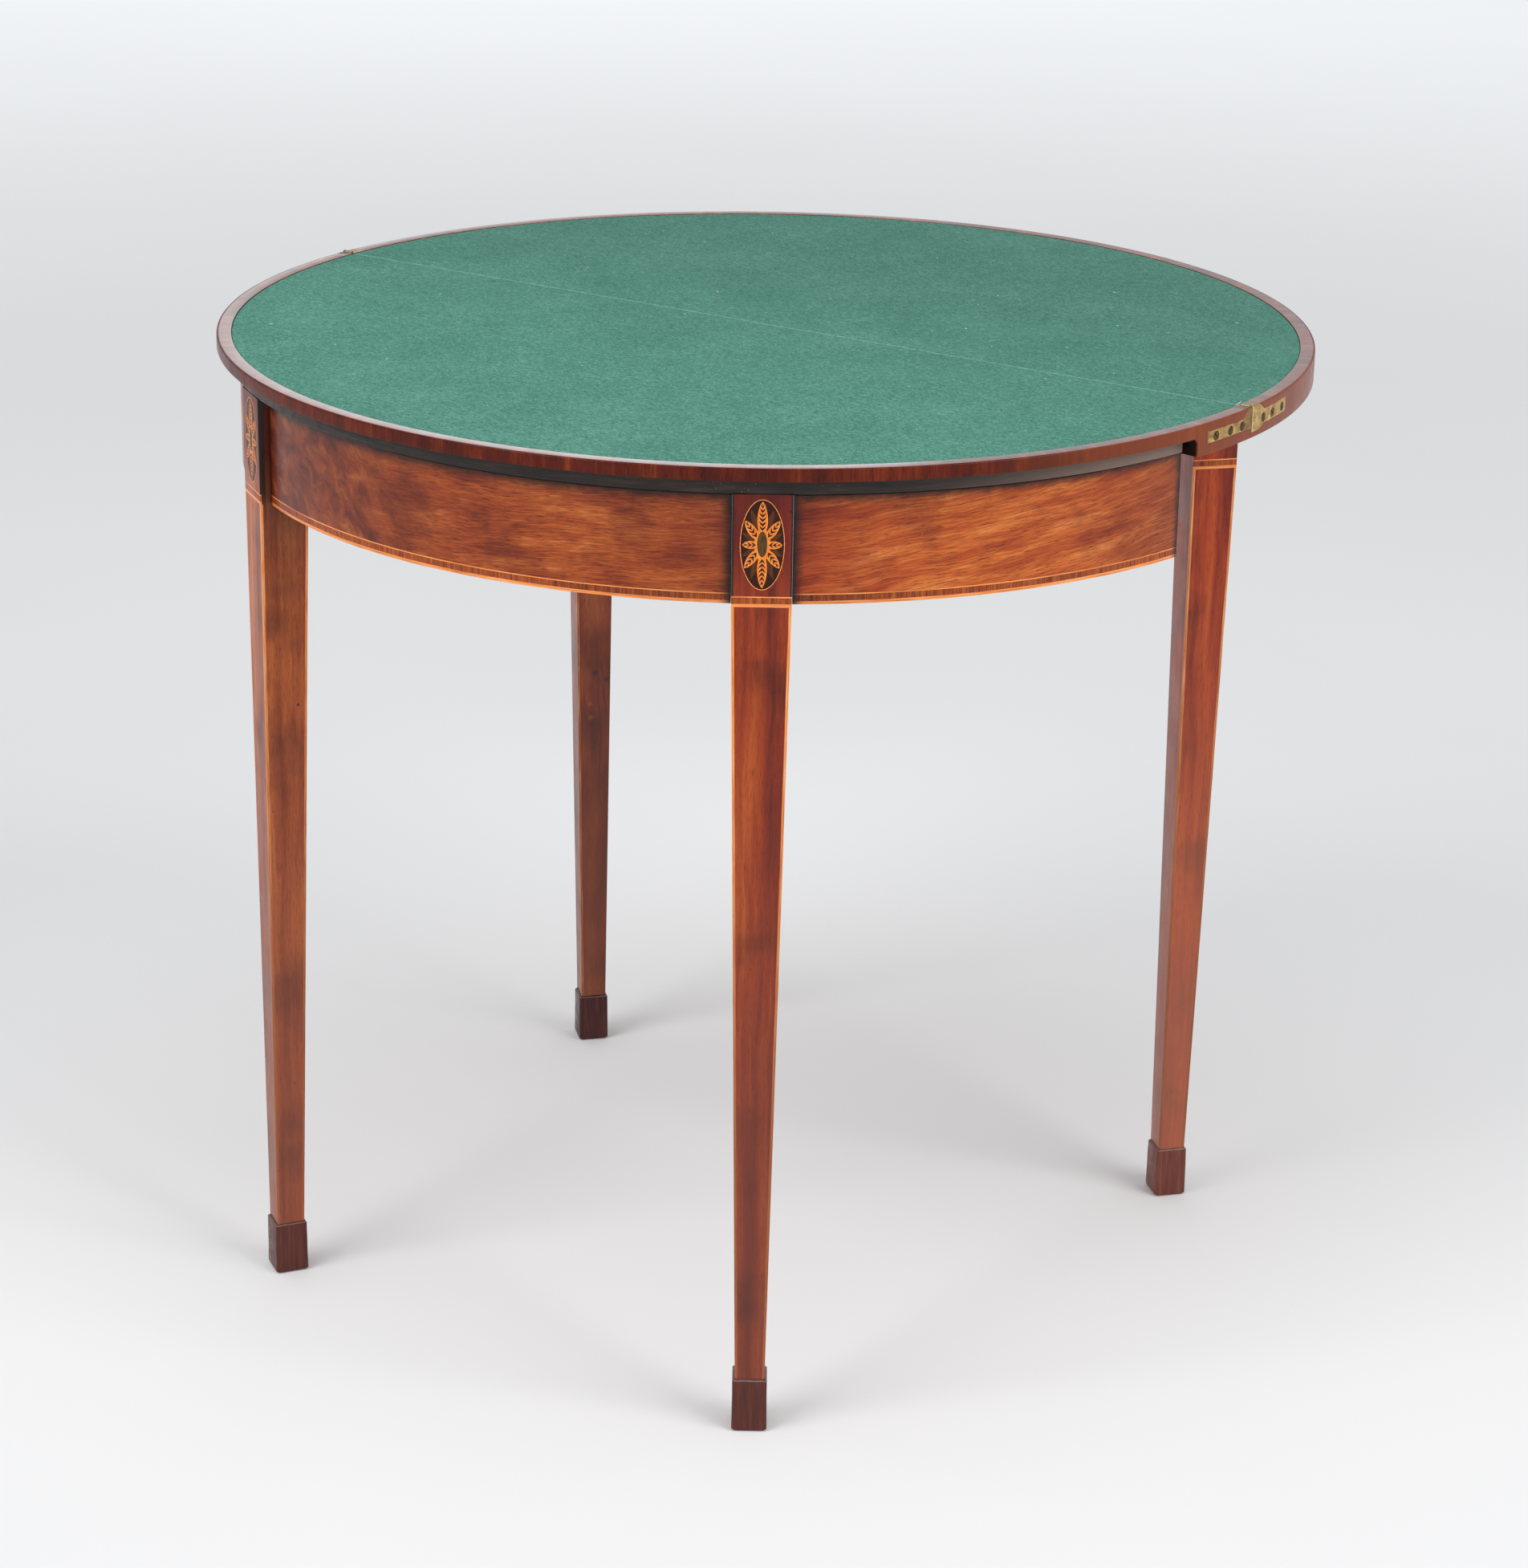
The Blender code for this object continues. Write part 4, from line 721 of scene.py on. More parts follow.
for leaf, body, label, cadName in leaves:
    lippingInner, borderLow = topRadius - leafEdge["thickness"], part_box(cadName + "_border")[0].z
    borderOuter, borderInner = lippingInner - hairline, clothRadius + leafEdge["borderRoom"]
    lipping = sweptBand(edgeStations(leaf), lambda low: [
        (topRadius, topHeight, leafEdge["topEase"]), (topRadius, low, leafEdge["bottomEase"]),
        (lippingInner, low, 0), (lippingInner, topHeight, 0)], leaf)
    border = sweptBand(edgeStations(1), lambda low: [
        (borderOuter, topHeight, 0), (borderOuter, borderLow, 0),
        (borderInner, borderLow, 0), (borderInner, topHeight, leafEdge["innerEase"])], leaf)
    for shape, piece, finish, cadPart in ((lipping, "EdgeBanding", "edge", "_lipping"),
                                          (border, "TopBorder", "border", "_border")):
        shape = carved(shape, [cutter for side in ends for cutter in hingeCutters(side, leaf)])
        addPiece(label + piece, shape, finishes[finish], body, [cadName + cadPart])
print("leaf edges swept")

ebonised = {"room": 0.0003, "outerEase": 0.0006, "endDegrees": 79.7, "steps": 80}
stations = [(ebonised["endDegrees"] * step / ebonised["steps"], 0)
            for step in range(-ebonised["steps"], ebonised["steps"] + 1)]
stripInner = friezeRadius + ebonised["room"]
strip = sweptBand(stations, lambda low: [
    (-stripLow.y, stripHigh.z, ebonised["outerEase"]), (-stripLow.y, stripLow.z, ebonised["outerEase"]),
    (stripInner, stripLow.z, 0), (stripInner, stripHigh.z, 0)])
addPiece("ebonisedStrip", strip, finishes["strip"], "frame", ["ebonised_strip"])


# Slotted countersunk screw heads, each turned as the last hand left it

def screwHead(turn):
    radius, depth = hinge["headRadius"], hinge["headDepth"]
    head = bmesh.new()
    bmesh.ops.create_cone(head, cap_ends=True, segments=32, radius1=radius * hinge["headCone"], radius2=radius,
                          depth=depth)
    bmesh.ops.translate(head, vec=(0, 0, -depth / 2), verts=head.verts)
    rim = [edge for edge in head.edges if all(abs(vert.co.z) < 1e-6 for vert in edge.verts)]
    bmesh.ops.bevel(head, geom=rim, offset=hinge["headEase"], segments=2, affect="EDGES", profile=0.5)
    half, reach = hinge["slotWidth"] / 2, radius + overrun
    slot = taperedBar([(height, -reach, reach, -half, half)
                       for height in (hinge["slotRise"], -hinge["slotDepth"])], cutterEase)
    slot.transform(Matrix.Rotation(turn, 4, "Z"))
    return carved(head, [slot])


rng = random.Random(41)
for side in ends:
    for leaf, body, *_ in leaves:
        sideName, leafName = "right" if side > 0 else "left", "flap" if leaf > 0 else "fixed"
        label = f"hinge{sideName.title()}{leafName.title()}"
        knuckles = [0, 2] if leaf < 0 else [1]
        clear = hinge["knuckleClear"]
        bars = [foldBar(side, index + clear, index + 1 - clear, hinge["barrelRadius"]) for index in knuckles]
        rooms = [foldBar(side, index - clear, index + 1 + clear, hinge["barrelRadius"] + hinge["room"])
                 for index in range(hinge["knuckles"]) if index not in knuckles]
        rooms.append(foldBar(side, *hinge["pinEnds"], hinge["pinRadius"] + hinge["pinRoom"]))
        behind, before = hinge["screwHole"]
        for distance in hinge["screws"][leaf]:
            outward, spot = screwSpot(side, leaf, distance)
            rooms.append(roundBar(spot - outward * behind, spot + outward * before,
                                  hinge["headRadius"] + hinge["room"], 32))
        band = plateBand(side, leaf, 0, topRadius - hinge["thickness"], topRadius, hinge["ease"])
        brass = carved(band, rooms, [tongue(side, leaf, 0), *bars])
        addPiece(label + "Plate", brass, finishes["brass"], body, [f"hinge_{sideName}_{leafName}_plate"])
        for number, distance in enumerate(hinge["screws"][leaf], 1):
            outward, spot = screwSpot(side, leaf, distance)
            facing = outward.to_track_quat("Z", "Y").to_matrix().to_4x4()
            place = Matrix.Translation(spot - outward * hinge["headSink"]) @ facing
            addPiece(f"{label}Screw{number}", screwHead(rng.uniform(0, math.pi)), finishes["steel"], body,
                     [f"hinge_{sideName}_{leafName}_screw_{number}"], place)
print("hinges let in")


# Baize: one half circle of cloth on each leaf, soft at its cut edge and a little uneven

cloth = {
    "rings": 40, "turnSteps": 600, "crowding": 2.2, "edgeRound": 0.0012, "edgeDrop": 0.0007, "foldDrop": 0.35,
    "waver": 0.00012, "waverPitch": 28, "fray": 0.00045, "frayPitch": 2.6,
    "fibres": 34, "fibreLengths": (0.0008, 0.0010, 0.0014, 0.0026), "fibreRadii": (0.00014, 0.00026),
    "fibreBend": 0.9, "fibreLift": 0.00022,
}


def clothHalf(leaf):
    topRows, lowRows = [], []
    for ring in range(cloth["rings"] + 1):
        share = ring / cloth["rings"]
        fromEdge = (1 - share) ** cloth["crowding"]     # rings crowd towards the cut edge
        topRow, lowRow = [], []
        for step in range(cloth["turnSteps"] + 1):
            angle = -90 + 180 * step / cloth["turnSteps"]
            ragged = noise.noise(Vector((angle * cloth["frayPitch"], leaf * 7.0, 0)))
            fray = cloth["fray"] * ragged * share ** 6
            radius = max(clothRadius * (1 - fromEdge) + fray, 0.0001)
            x, y, _ = onTop(radius, angle, 0, leaf)
            edge = min(clothRadius - radius, abs(y) - foldGap)
            drop = cloth["edgeDrop"] * max(0, 1 - edge / cloth["edgeRound"]) ** 2
            lift = cloth["waver"] * noise.noise(Vector((x * cloth["waverPitch"], y * cloth["waverPitch"], leaf)))
            drop *= cloth["foldDrop"] if abs(y) < cloth["edgeRound"] else 1
            topRow.append((x, y, clothTop + lift - drop))
            lowRow.append((x, y, clothBottom))
        topRows.append(topRow)
        lowRows.append(lowRow)
    return closedGrid(topRows, lowRows)


def fibre(points, sizes, across, sides):
    # a thin round thread through the points; across gives the two directions of its section at a point
    rings = []
    for index, (point, size) in enumerate(zip(points, sizes)):
        aside, over = across(index)
        turns = [2 * math.pi * side / sides for side in range(sides)]
        rings.append([point + aside * size * math.cos(turn) + over * size * math.sin(turn) for turn in turns])
    return ringSweep(rings)


def lintFibres(leaf, seed):
    # short bent fibres and dust lying on the cloth
    draw = random.Random(seed)
    fibres = []
    for _ in range(cloth["fibres"]):
        radius, angle = clothRadius * math.sqrt(draw.uniform(0.02, 0.97)), draw.uniform(-88, 88)
        x, y, _ = onTop(radius, angle, 0, leaf)
        heading, bend = draw.uniform(0, 2 * math.pi), draw.uniform(-cloth["fibreBend"], cloth["fibreBend"])
        length, thick = draw.choice(cloth["fibreLengths"]), draw.uniform(*cloth["fibreRadii"])
        shares = [step / 4 for step in range(5)]
        turns = [heading + bend * share for share in shares]
        points = [Vector((x + math.cos(turn) * length * share, y + math.sin(turn) * length * share,
                          clothTop + cloth["fibreLift"])) for turn, share in zip(turns, shares)]
        sizes = [thick * (0.35 + 0.65 * math.sin(math.pi * (0.15 + 0.7 * share))) for share in shares]
        fibres.append(fibre(points, sizes, lambda index: (
            Vector((-math.sin(turns[index]), math.cos(turns[index]), 0)), Vector((0, 0, 1))), 4))
    return together(fibres)


for leaf, body, label, cadName in leaves:
    half = addPiece(label + "Baize", clothHalf(leaf), finishes["baize"], body, [cadName + "_baize"])
    addPiece(label + "Lint", lintFibres(leaf, 5 + leaf), finishes["lint"], body)

# one loose thread at the right end of the fold
thread = {"start": (0.4165, -0.0012, 0.0002), "end": (0.4192, 0.0022, 0.0024), "radius": 0.00035, "sag": 0.0008}
start, end = (Vector(thread[key]) + Vector((0, 0, clothTop)) for key in ("start", "end"))
shares = [step / 8 for step in range(9)]
points = [start.lerp(end, share) - Vector((0, 0, thread["sag"] * math.sin(math.pi * share))) for share in shares]
loose = fibre(points, [thread["radius"] * (1 - 0.5 * share) for share in shares],
              lambda index: (Vector((1, 0, 0)), Vector((0, 0, 1))), 6)
addPiece("loosePileThread", loose, finishes["lint"], "frame")
print("baize laid")


# Frieze: figured veneer, then a thin line, a crossbanding and the boxwood line on the arris

friezeLook = {"veneerThickness": 0.0009, "arrisLine": 0.0024, "thinLine": 0.0009, "ease": 0.0004, "setback": 0.065,
              "legRoom": 0.0003}
legDegrees, legHalf = waxAndShade["legDegrees"], waxAndShade["legHalfWidth"] / 1000 + friezeLook["legRoom"]
legSpan = math.degrees(math.asin(legHalf / friezeRadius))
outerEnd = math.degrees(math.acos(friezeLook["setback"] / friezeRadius))
friezeSpans = {"Left": (-outerEnd, -legDegrees - legSpan), "Front": (-legDegrees + legSpan, legDegrees - legSpan),
               "Right": (legDegrees + legSpan, outerEnd)}
for name, (first, last) in friezeSpans.items():
    count = math.ceil(last - first)
    stations = [(first + (last - first) * step / count, 0) for step in range(count + 1)]
    lineTop, bandUpper = friezeBottom + friezeLook["arrisLine"], bandTop - friezeLook["thinLine"]
    layers = {
        "Veneer": (bandTop + hairline, friezeTop, name.lower() + "Veneer", "flame_mahogany", "veneer"),
        "ThinLine": (bandUpper + hairline, bandTop, "friezeString", "boxwood", "banding"),
        "Crossbanding": (lineTop + hairline, bandUpper, "band", "crossbanding", "banding"),
        "ArrisLine": (friezeBottom, lineTop, "friezeString", "boxwood", "banding"),
    }
    for layer, (low, high, finish, slot, cadPart) in layers.items():
        ease = friezeLook["ease"] if layer == "ArrisLine" else 0
        inner = friezeRadius - friezeLook["veneerThickness"]
        shape = sweptBand(stations, lambda _: [(friezeRadius, high, 0), (friezeRadius, low, ease),
                                               (inner, low, 0), (inner, high, 0)])
        addPiece(f"frieze{name}{layer}", shape, finishes[finish], "frame",
                 [f"frieze_{name.lower()}_{cadPart}"])
print("frieze veneered")


# Legs: eased bars with strings let into their arrises and a cuff across the show face

leg = {
    "ease": 0.0004, "string": 0.0020, "stringEase": 0.0005, "stringProud": 0.00002, "cuffDepth": 0.0012,
    "end": 0.0223, "frontWidth": 0.0425, "frontDepth": 0.0375, "frontTop": stripLow.z - 0.0003, "lip": 0.0072,
    "flyHead": 0.0365, "flyOuter": 0.3640, "flyTaper": 0.0100, "railHalf": 0.0120, "waxHalf": 21.25,
    # dark and pale spots through the left fly leg: depth from its show face, height and size, in millimetres,
    # as waxHalf is, how far the wax and painted shade on a front leg's head lie from its middle
    "knots": [(7.4, 357.0, 5.6, "#1e1410"), (17.6, 350.0, 4.8, "#241611"), (2.6, 328.0, 4.2, "#a86438"),
              (3.0, 315.0, 4.6, "#a0562e")],
    "mortise": (0.0200, 0.0083, 0.0466), "mortiseRoom": 0.0003, "flyCuffDrop": 0.0080,
}
footLook = {"top": 0.0260, "base": 0.0266, "ease": 0.0019, "edge": 0.0017, "wear": 0.00016, "wearPitch": 90}


def stringBar(upper, lower, xSide, ySide, size, over, ease):
    # a square string down one arris, from the upper section to the lower, reaching over past the faces
    rings = []
    for z, *sides in (upper, lower):
        x, y = sides[(xSide + 1) // 2] + xSide * over, sides[2 + (ySide + 1) // 2] + ySide * over
        inX, inY = x - xSide * (size + over), y - ySide * (size + over)
        corners = [(x, y, ease), (inX, y, 0), (inX, inY, 0), (x, inY, 0)]
        rings.append([(u, v, z) for u, v in easedOutline(corners)])
    return ringSweep(rings)


def foot(end, seed):
    # a block foot, its arrises rubbed round and its faces a little worn
    middleX, middleY = (end[0] + end[1]) / 2, (end[2] + end[3]) / 2
    edge = footLook["edge"]
    heights = [0, edge, *[footTop * step / 8 for step in range(1, 8)], footTop - edge, footTop]
    sections = []
    for index, z in enumerate(heights):
        half = (footLook["base"] + (footLook["top"] - footLook["base"]) * z / footTop) / 2
        half -= edge if index in (0, len(heights) - 1) else 0
        half += footLook["wear"] * noise.noise(Vector((z * footLook["wearPitch"], seed, 0)))
        sections.append((z, middleX - half, middleX + half, middleY - half, middleY + half))
    return taperedBar(sections, footLook["ease"])


def buildLeg(label, cadLeg, cadFoot, body, place, head, end, arrises, extra, wood, seed):
    # head and end are the leg's sections, (x low, x high, y low, y high), at its top and at its foot
    size, depth = leg["string"], leg["cuffDepth"]
    low, high = friezeBottom - extra["cuffDrop"], bandTop - extra["cuffDrop"]
    upper, lower = (low - hairline, *head), (footTop + hairline, *end)
    bar = taperedBar([(extra["top"], *head), (low, *head), (footTop + hairline, *end)], leg["ease"])
    rooms = [stringBar(upper, (footTop - overrun, *end), xSide, ySide, size + hairline, overrun, 0)
             for xSide, ySide in arrises]
    xLow, xHigh, yFace, _ = head
    room = (xLow - overrun, xHigh + overrun, yFace - overrun, yFace + depth)
    rooms.append(taperedBar([(high, *room), (low, *room)], cutterEase))
    bar = carved(bar, rooms + extra["cutters"])
    addPiece(label, bar, wood, body, [cadLeg], place)
    strings = together([stringBar(upper, lower, xSide, ySide, size, leg["stringProud"], leg["stringEase"])
                        for xSide, ySide in arrises])
    inlay = [cadLeg + "_stringing"]
    addPiece(label + "Strings", strings, finishes[extra["string"]], body, inlay, place)
    lineTop, bandUpper = low + friezeLook["arrisLine"], high - friezeLook["thinLine"]
    outline = easedOutline([(xLow, yFace, leg["ease"]), (xHigh, yFace, leg["ease"]),
                            (xHigh, yFace + depth, 0), (xLow, yFace + depth, 0)])
    for part, base, top, finish, slot in (
            ("CuffThinLine", bandUpper + hairline, high, "cuffString", "boxwood"),
            ("CuffBanding", lineTop + hairline, bandUpper, "cuff", "crossbanding"),
            ("CuffLine", low, lineTop, "cuffString", "boxwood")):
        shape = ringSweep([[(x, y, z) for x, y in outline] for z in (base, top)])
        addPiece(label + part, shape, finishes[finish], body, inlay, place)
    addPiece(label + "Foot", foot(end, seed), finishes[extra["foot"]], body, [cadFoot], place)


# Patera: an oval of dark ground with eight light petals, shaded ones behind, and a stained eye

patera = {
    "width": 0.0314, "height": 0.0658, "topMargin": 0.0035, "line": 0.00055, "rib": 0.00011, "depth": 0.0012,
    "eye": (0.0035, 0.0093), "eyeLift": 0.0005, "collar": (0.0056, 0.0120), "level": 0.00003,
    # each petal's tip across and up from the middle, its width, and its pairs of veins
    "petals": [((0, 0.0314), 0.0074, 6), ((0, -0.0314), 0.0070, 6), ((0.0122, 0.0174), 0.0062, 4),
               ((-0.0122, 0.0174), 0.0062, 4), ((0.0121, -0.0168), 0.0062, 4), ((-0.0123, -0.0170), 0.0062, 4),
               ((0.0141, 0), 0.0058, 3), ((-0.0141, 0), 0.0058, 3)],
    "shaded": [((0.0079, 0.0252), 0.0044), ((-0.0079, 0.0252), 0.0044), ((0.0077, -0.0246), 0.0044),
               ((-0.0077, -0.0246), 0.0044), ((0.0137, 0.0086), 0.0042), ((-0.0137, 0.0086), 0.0042),
               ((0.0137, -0.0082), 0.0042), ((-0.0137, -0.0082), 0.0042)],
    # the veins, in shares of the petal's length and width, and of the pitch from one pair to the next
    "veins": {"midline": (0.12, 0.93), "first": 0.14, "run": 0.78, "clear": 1.05, "waist": 0.55, "tip": 1.15,
              "reach": 0.35, "shoulder": 0.7, "swell": (0.22, 0.62)},
    # how many levels proud of the leg each layer lies
    "layers": {"ground": 0.5, "line": 1, "shaded": 1.2, "petals": 2, "nextPetal": 0.12, "collar": 3.1,
               "veins": 3.6, "eye": 4.5},
}
pateraMiddle = leg["frontTop"] - patera["topMargin"] - patera["height"] / 2


def oval(halfWidth, halfHeight, middle, steps=72):
    turns = [2 * math.pi * step / steps for step in range(steps)]
    return [(halfWidth * math.cos(turn), middle + halfHeight * math.sin(turn)) for turn in turns]


def petalFrame(tip, base=0.22):
    # the petal's root, its axis and its length
    tip = Vector(tip)
    root = tip * base
    return root, (tip - root).normalized(), (tip - root).length


def petalOutline(tip, width, middle, steps=14):
    # a pointed leaf, widest a little nearer its root
    root, axis, length = petalFrame(tip)
    across = Vector((-axis.y, axis.x))
    points = []
    for side in (1, -1):
        for step in range(steps + 1):
            share = step / steps if side > 0 else 1 - step / steps
            swell = math.sin(math.pi * share ** 0.85) ** 0.62 if 0 < share < 1 else 0
            points.append(root + axis * length * share + across * side * width / 2 * swell)
    clean = [point for index, point in enumerate(points) if (point - points[index - 1]).length > 1e-5]
    return [(point.x, point.y + middle) for point in clean]


def petalVeins(tip, width, pairs, middle):
    # a midline and slim darts beside it that point out towards the tip, in shares of the petal's size
    veins = patera["veins"]
    swellStart, swellRun = veins["swell"]
    root, axis, length = petalFrame(tip)
    across = Vector((-axis.y, axis.x))
    pitch = length * veins["run"] / pairs
    rib = across * patera["rib"]
    inward, tipward = (root + axis * length * share for share in veins["midline"])
    yield [(point.x, point.y + middle) for point in (inward - rib, tipward - rib, tipward + rib, inward + rib)]
    for index in range(pairs):
        start = root + axis * (length * veins["first"] + pitch * index)
        share = (index + 1.0) / pairs
        reach = width * veins["reach"] * math.sin(math.pi * (swellStart + swellRun * share))
        for side in (1, -1):
            near = start + rib * side * veins["clear"]
            corners = [near, near + axis * pitch * veins["waist"],
                       start + axis * pitch * veins["tip"] + across * side * reach,
                       start + axis * pitch * veins["waist"] + across * side * reach * veins["shoulder"]]
            yield [(point.x, point.y + middle) for point in corners]


def layPatera(label, cadName, place):
    # each layer lies a hair prouder than the one under it
    middle, halfWidth, halfHeight = pateraMiddle, patera["width"] / 2, patera["height"] / 2
    line, depth, level, layers = patera["line"], patera["depth"], patera["level"], patera["layers"]
    inner, front = oval(halfWidth - line, halfHeight - line, middle), -level * layers["line"]
    ground = plate(inner, -level * layers["ground"], depth)
    ring = ringSweep([[(xOut, front, zOut), (xIn, front, zIn), (xIn, depth, zIn), (xOut, depth, zOut)]
                      for (xOut, zOut), (xIn, zIn) in zip(oval(halfWidth, halfHeight, middle), inner)], closed=True)
    shaded = together([plate(petalOutline(tip, width, middle), -level * layers["shaded"], depth / 2)
                       for tip, width in patera["shaded"]])
    petals = [plate(petalOutline(tip, width, middle), -level * (layers["petals"] + index * layers["nextPetal"]),
                    depth / 2) for index, (tip, width, _) in enumerate(patera["petals"])]
    petals.append(plate(oval(*patera["collar"], middle), -level * layers["collar"], depth / 2))
    veins = [plate(outline, -level * layers["veins"], depth / 2) for tip, width, pairs in patera["petals"]
             for outline in petalVeins(tip, width, pairs, middle)]
    eye = plate(oval(*patera["eye"], middle + patera["eyeLift"]), -level * layers["eye"], depth / 2)
    for part, shape, finish in (("Ground", ground, "ground"), ("Line", ring, "cuffString"),
                                ("ShadedPetals", shaded, "shade"), ("Petals", together(petals), "petal"),
                                ("Veins", together(veins), "vein"), ("Eye", eye, "eye")):
        addPiece(label + part, shape, finishes[finish], "frame", [cadName], place)


legWoods = {
    "frontRight": {"stops": [(0.32, "#4e140a"), (0.46, "#7e260c"), (0.57, "#99380f"), (0.70, "#b8541e")]},
    "frontLeft": {"stops": [(0.32, "#6a2810"), (0.46, "#a0481c"), (0.57, "#ba5e28"), (0.70, "#d27e42")]},
    "flyRight": {"stops": [(0.32, "#5c1608"), (0.46, "#8c2a10"), (0.57, "#ae4218"), (0.70, "#ca5e28")]},
    "flyLeft": {"stops": [(0.34, "#5a200e"), (0.46, "#903a1a"), (0.57, "#aa5026"), (0.70, "#c06c3c")],
                "figure": (110.0, 22.0, 22.0), "warp": (40.0, 18.0, 18.0)},
}
halfFront, halfEnd = leg["frontWidth"] / 2, leg["end"] / 2
for number, (side, name) in enumerate(((1, "Right"), (-1, "Left"))):
    degrees = side * legDegrees
    place = Matrix.Translation(onTop(-stripLow.y, degrees, 0)) @ Matrix.Rotation(math.radians(degrees), 4, "Z")
    head, end = (-halfFront, halfFront, 0, leg["frontDepth"]), (-halfEnd, halfEnd, 0, leg["end"])
    step = (-halfFront - overrun, halfFront + overrun, leg["lip"], leg["frontDepth"] + overrun)
    pocket = oval(patera["width"] / 2 + hairline, patera["height"] / 2 + hairline, pateraMiddle)
    cutters = [taperedBar([(leg["frontTop"] + overrun, *step), (friezeTop, *step)], cutterEase),
               plate(pocket, -overrun, patera["depth"] + hairline)]
    # painted floor reflection: the lower front legs mixed towards these greyer browns
    wood = legMahogany(f"legMahoganyFront{name}", legWoods[f"front{name}"], 0.8, 140.0 * number, 0.5,
                       "#6c4034" if side > 0 else "#7d4a3e", leg["waxHalf"])
    extra = {"top": leg["frontTop"], "cutters": cutters, "cuffDrop": 0.0, "string": "legString", "foot": "foot"}
    buildLeg(f"frontLeg{name}", f"front_leg_{name.lower()}", f"front_foot_{name.lower()}", "frame", place,
             head, end, [(-1, -1), (1, -1), (-1, 1), (1, 1)], extra, wood, number)
    layPatera(f"patera{name}", f"patera_{name.lower()}", place)

for number, joint in enumerate(j for j in frame["joints"] if j["name"].startswith("gate")):
    name = joint["name"].split("_")[1]
    side = 1 if name == "right" else -1
    axisX, axisY = joint["pos_m"][:2]
    place = (Matrix.Translation((axisX, axisY, 0))
             @ Matrix.Rotation(math.radians(-joint["range_deg"][0] * side), 4, "Z"))
    outer, inner = side * leg["flyOuter"], side * (leg["flyOuter"] - leg["flyHead"])
    front, back = -leg["railHalf"], leg["flyHead"] - leg["railHalf"]
    middleY = (front + back) / 2
    head = (*sorted((inner, outer)), front, back)
    endOuter = outer - side * leg["flyTaper"]
    end = (*sorted((endOuter, endOuter - side * leg["end"])), middleY - halfEnd, middleY + halfEnd)
    length, thickness, height = leg["mortise"]
    railLow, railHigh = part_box(f"fly_rail_{name}")
    centre = (railLow.z + railHigh.z) / 2
    socketEnd = inner + side * (length + leg["mortiseRoom"])
    socket = (*sorted((inner - side * overrun, socketEnd)), -thickness / 2, thickness / 2)
    cutters = [taperedBar([(centre + height / 2, *socket), (centre - height / 2, *socket)], cutterEase)]
    # painted light makes the right leg paler low down and on its foot, painted shade makes the left one darker, and
    # the left one is knotty
    lowPaintedLight, lowPaintedLightColour, string, footFinish, knots = (
        (0.42, "#bc7a5e", "flyString", "paleFoot", ()) if side > 0 else
        (0.72, "#643a2e", "dullString", "darkFoot", leg["knots"]))
    wood = legMahogany(f"legMahoganyFly{name.title()}", legWoods[f"fly{name.title()}"], 0.9,
                       400.0 + 170.0 * number, lowPaintedLight, lowPaintedLightColour, knots=knots)
    extra = {"top": friezeTop, "cutters": cutters, "cuffDrop": leg["flyCuffDrop"], "string": string,
             "foot": footFinish}
    buildLeg(f"flyLeg{name.title()}", f"fly_leg_{name}", f"fly_foot_{name}", f"gate_{name}", place,
             head, end, [(-1, -1), (1, -1), (side, 1)], extra, wood, 7 + number)
print("legs turned out")


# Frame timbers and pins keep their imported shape, get their finish, and shade as the round pieces they are

timberLook = {"shadeDegrees": 30, "mergeDistance": 0.000002, "arrisWidth": 0.0005, "arrisSegments": 2,
              "arrisDegrees": 40}


def shadeByAngle(degrees):
    group = bpy.data.node_groups.new("shadeByAngle", "GeometryNodeTree")
    group.interface.new_socket(name="Geometry", in_out="INPUT", socket_type="NodeSocketGeometry")
    group.interface.new_socket(name="Geometry", in_out="OUTPUT", socket_type="NodeSocketGeometry")
    source, merge, angle, compare, smooth, sharp, result = (group.nodes.new(kind) for kind in (
        "NodeGroupInput", "GeometryNodeMergeByDistance", "GeometryNodeInputMeshEdgeAngle", "FunctionNodeCompare",
        "GeometryNodeSetShadeSmooth", "GeometryNodeSetShadeSmooth", "NodeGroupOutput"))
    merge.inputs["Distance"].default_value = timberLook["mergeDistance"]
    compare.operation, compare.inputs[1].default_value = "GREATER_THAN", math.radians(degrees)
    sharp.domain, sharp.inputs["Shade Smooth"].default_value = "EDGE", False
    for near, far, socket in ((source, merge, "Geometry"), (merge, smooth, "Geometry"), (smooth, sharp, "Geometry"),
                              (angle, compare, 0), (compare, sharp, "Selection"), (sharp, result, 0)):
        group.links.new(near.outputs[0], far.inputs[socket])
    return group


cadFinishes = {
    "underside": ["fixed_leaf", "flap_leaf"],
    "core": ["frieze_left_core", "frieze_front_core", "frieze_right_core"],
    "rail": ["back_rail", "hinge_rail", "fly_rail_left", "fly_rail_right"],
    "steel": ["gate_pin_left", "gate_pin_right", "hinge_left_pin", "hinge_right_pin",
              *[f"top_screw_{number}" for number in range(1, 5)]],
}
angleGroup = shadeByAngle(timberLook["shadeDegrees"])
for finish, names in cadFinishes.items():
    for name in names:
        node = frame["nodes"][name]
        if not node.material_slots:
            node.data.materials.append(None)
        for slot in node.material_slots:
            slot.link, slot.material = "OBJECT", finishes[finish]
        rounds = node.modifiers.new("shadeByAngle", "NODES")
        rounds.node_group = angleGroup
        if finish in ("core", "rail"):
            worn = node.modifiers.new("wornArris", "BEVEL")
            worn.width, worn.segments = timberLook["arrisWidth"], timberLook["arrisSegments"]
            worn.limit_method, worn.angle_limit = "ANGLE", math.radians(timberLook["arrisDegrees"])
print("frame timbers finished")


# Floor, light and camera

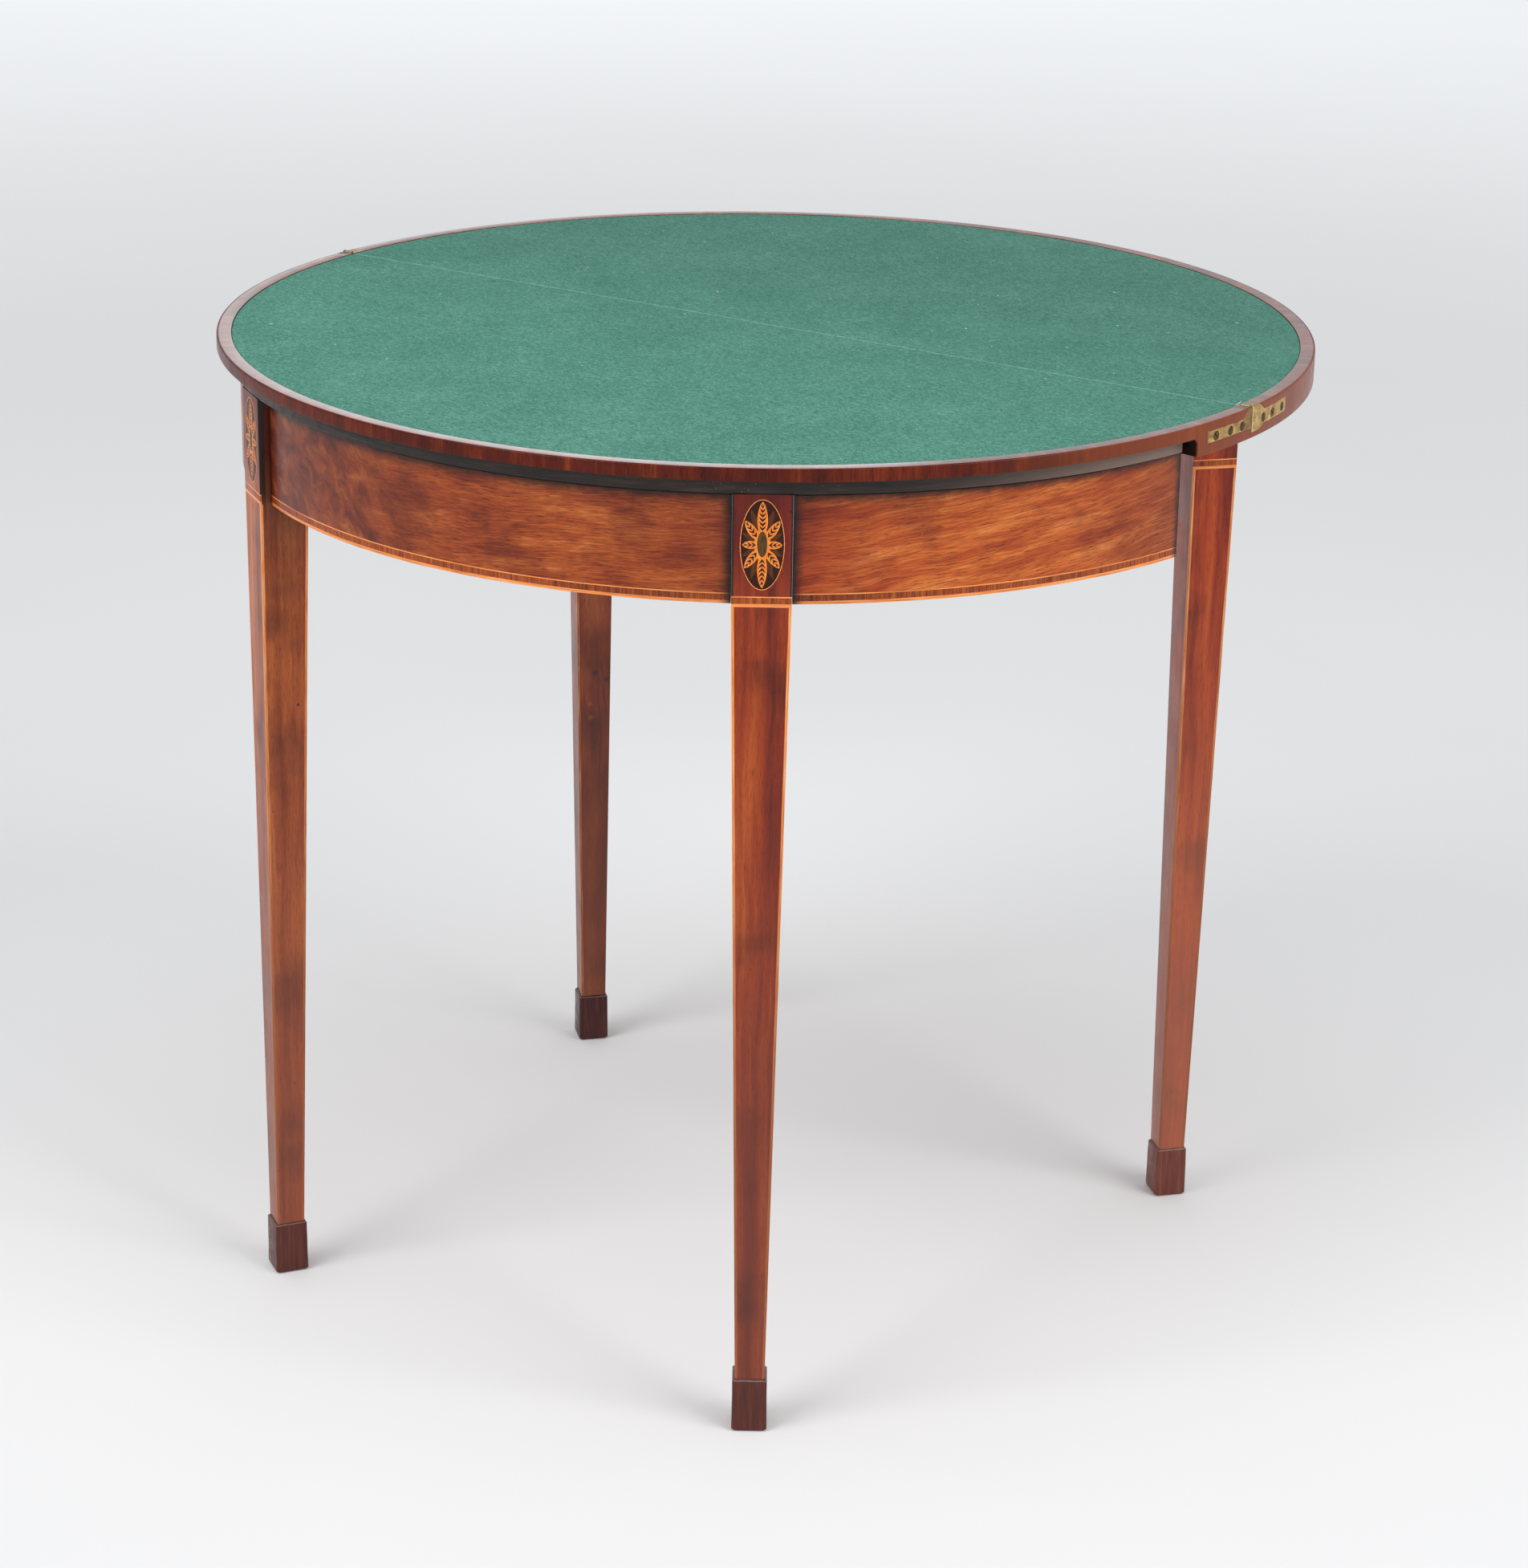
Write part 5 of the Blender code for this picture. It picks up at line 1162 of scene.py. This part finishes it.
studio = {
    "floorRadius": 30.0, "floorHeight": -0.0002, "glowNear": 2400.0, "glowFar": 7000.0, "glow": 0.36,
    "worldHex": "#eef1f4", "worldStrength": 0.66, "aim": (0, 0, 0.55),
    # each softbox: azimuth from the table's front, degrees up, distance, size and watts
    "softboxes": [(-18.0, 42.0, 7.0, 3.4, 172.0), (88.0, 40.0, 7.0, 3.4, 168.0), (34.0, 74.0, 7.0, 5.0, 56.0),
                  (218.0, 9.5, 8.0, 1.9, 7.6)],
}


def paperFloor():
    # seamless paper: near white and faintly uneven; painted shade makes it a little darker away from the table, and
    # further out it glows as painted light
    paper = Finish("seamlessPaper", {"Roughness": 0.9, "IOR": 1.4, "Emission Color": linear(studio["worldHex"])})
    paper.toned([(0.3, "#f1f1f1"), (0.7, "#f3f3f3")], 700)
    # painted shade: the paper a little darker beyond half a metre from the middle
    paper.stain("#f3f3f3", (paper.axis("r"), 500.0, 1500.0))
    # painted light: the paper glows further out, though it is no lamp
    glow = paper.where((paper.axis("r"), studio["glowNear"], studio["glowFar"], 0.0, studio["glow"]))
    return paper.done(**{"Emission Strength": glow})


floorMesh = bmesh.new()
bmesh.ops.create_circle(floorMesh, cap_ends=True, segments=96, radius=studio["floorRadius"])
floorData = bpy.data.meshes.new("paperFloor")
floorMesh.to_mesh(floorData)
floorMesh.free()
floorData.materials.append(paperFloor())
floor = bpy.data.objects.new("paperFloor", floorData)
floor.location.z = studio["floorHeight"]
bpy.context.scene.collection.objects.link(floor)

world = bpy.data.worlds.new("studioWorld")
bpy.context.scene.world = world
world.use_nodes = True
background = world.node_tree.nodes["Background"]
background.inputs["Color"].default_value = linear(studio["worldHex"])
background.inputs["Strength"].default_value = studio["worldStrength"]

for number, (azimuth, elevation, distance, size, watts) in enumerate(studio["softboxes"]):
    lamp = bpy.data.lights.new(f"softbox{number}", "AREA")
    lamp.shape, lamp.size, lamp.energy = "SQUARE", size, watts
    turn, rise = math.radians(azimuth), math.radians(elevation)
    back = Vector((math.sin(turn) * math.cos(rise), -math.cos(turn) * math.cos(rise), math.sin(rise)))
    holder = bpy.data.objects.new(lamp.name, lamp)
    holder.location = Vector(studio["aim"]) + back * distance
    holder.rotation_mode = "QUATERNION"
    holder.rotation_quaternion = (-back).to_track_quat("-Z", "Y")
    bpy.context.scene.collection.objects.link(holder)

view = {"location": (1.7300, -2.5897, 1.4926), "azimuth": 33.67, "pitch": 19.88, "roll": 0.906, "lens": 92.58,
        "sensor": 36.0, "clip": (0.1, 100.0)}
azimuth, pitch, roll = (math.radians(view[key]) for key in ("azimuth", "pitch", "roll"))
forward = Vector((-math.sin(azimuth) * math.cos(pitch), math.cos(azimuth) * math.cos(pitch), -math.sin(pitch)))
right = Vector((math.cos(azimuth), math.sin(azimuth), 0))
up = right.cross(forward)
right, up = right * math.cos(roll) + up * math.sin(roll), up * math.cos(roll) - right * math.sin(roll)
cameraData = bpy.data.cameras.new("photoView")
cameraData.sensor_fit, cameraData.sensor_width, cameraData.lens = "AUTO", view["sensor"], view["lens"]
cameraData.clip_start, cameraData.clip_end = view["clip"]
camera = bpy.data.objects.new("photoView", cameraData)
camera.matrix_world = Matrix.Translation(view["location"]) @ Matrix((right, up, -forward)).transposed().to_4x4()
bpy.context.scene.collection.objects.link(camera)
bpy.context.scene.camera = camera
bpy.context.scene.view_settings.view_transform = "Standard"
print("studio lit")
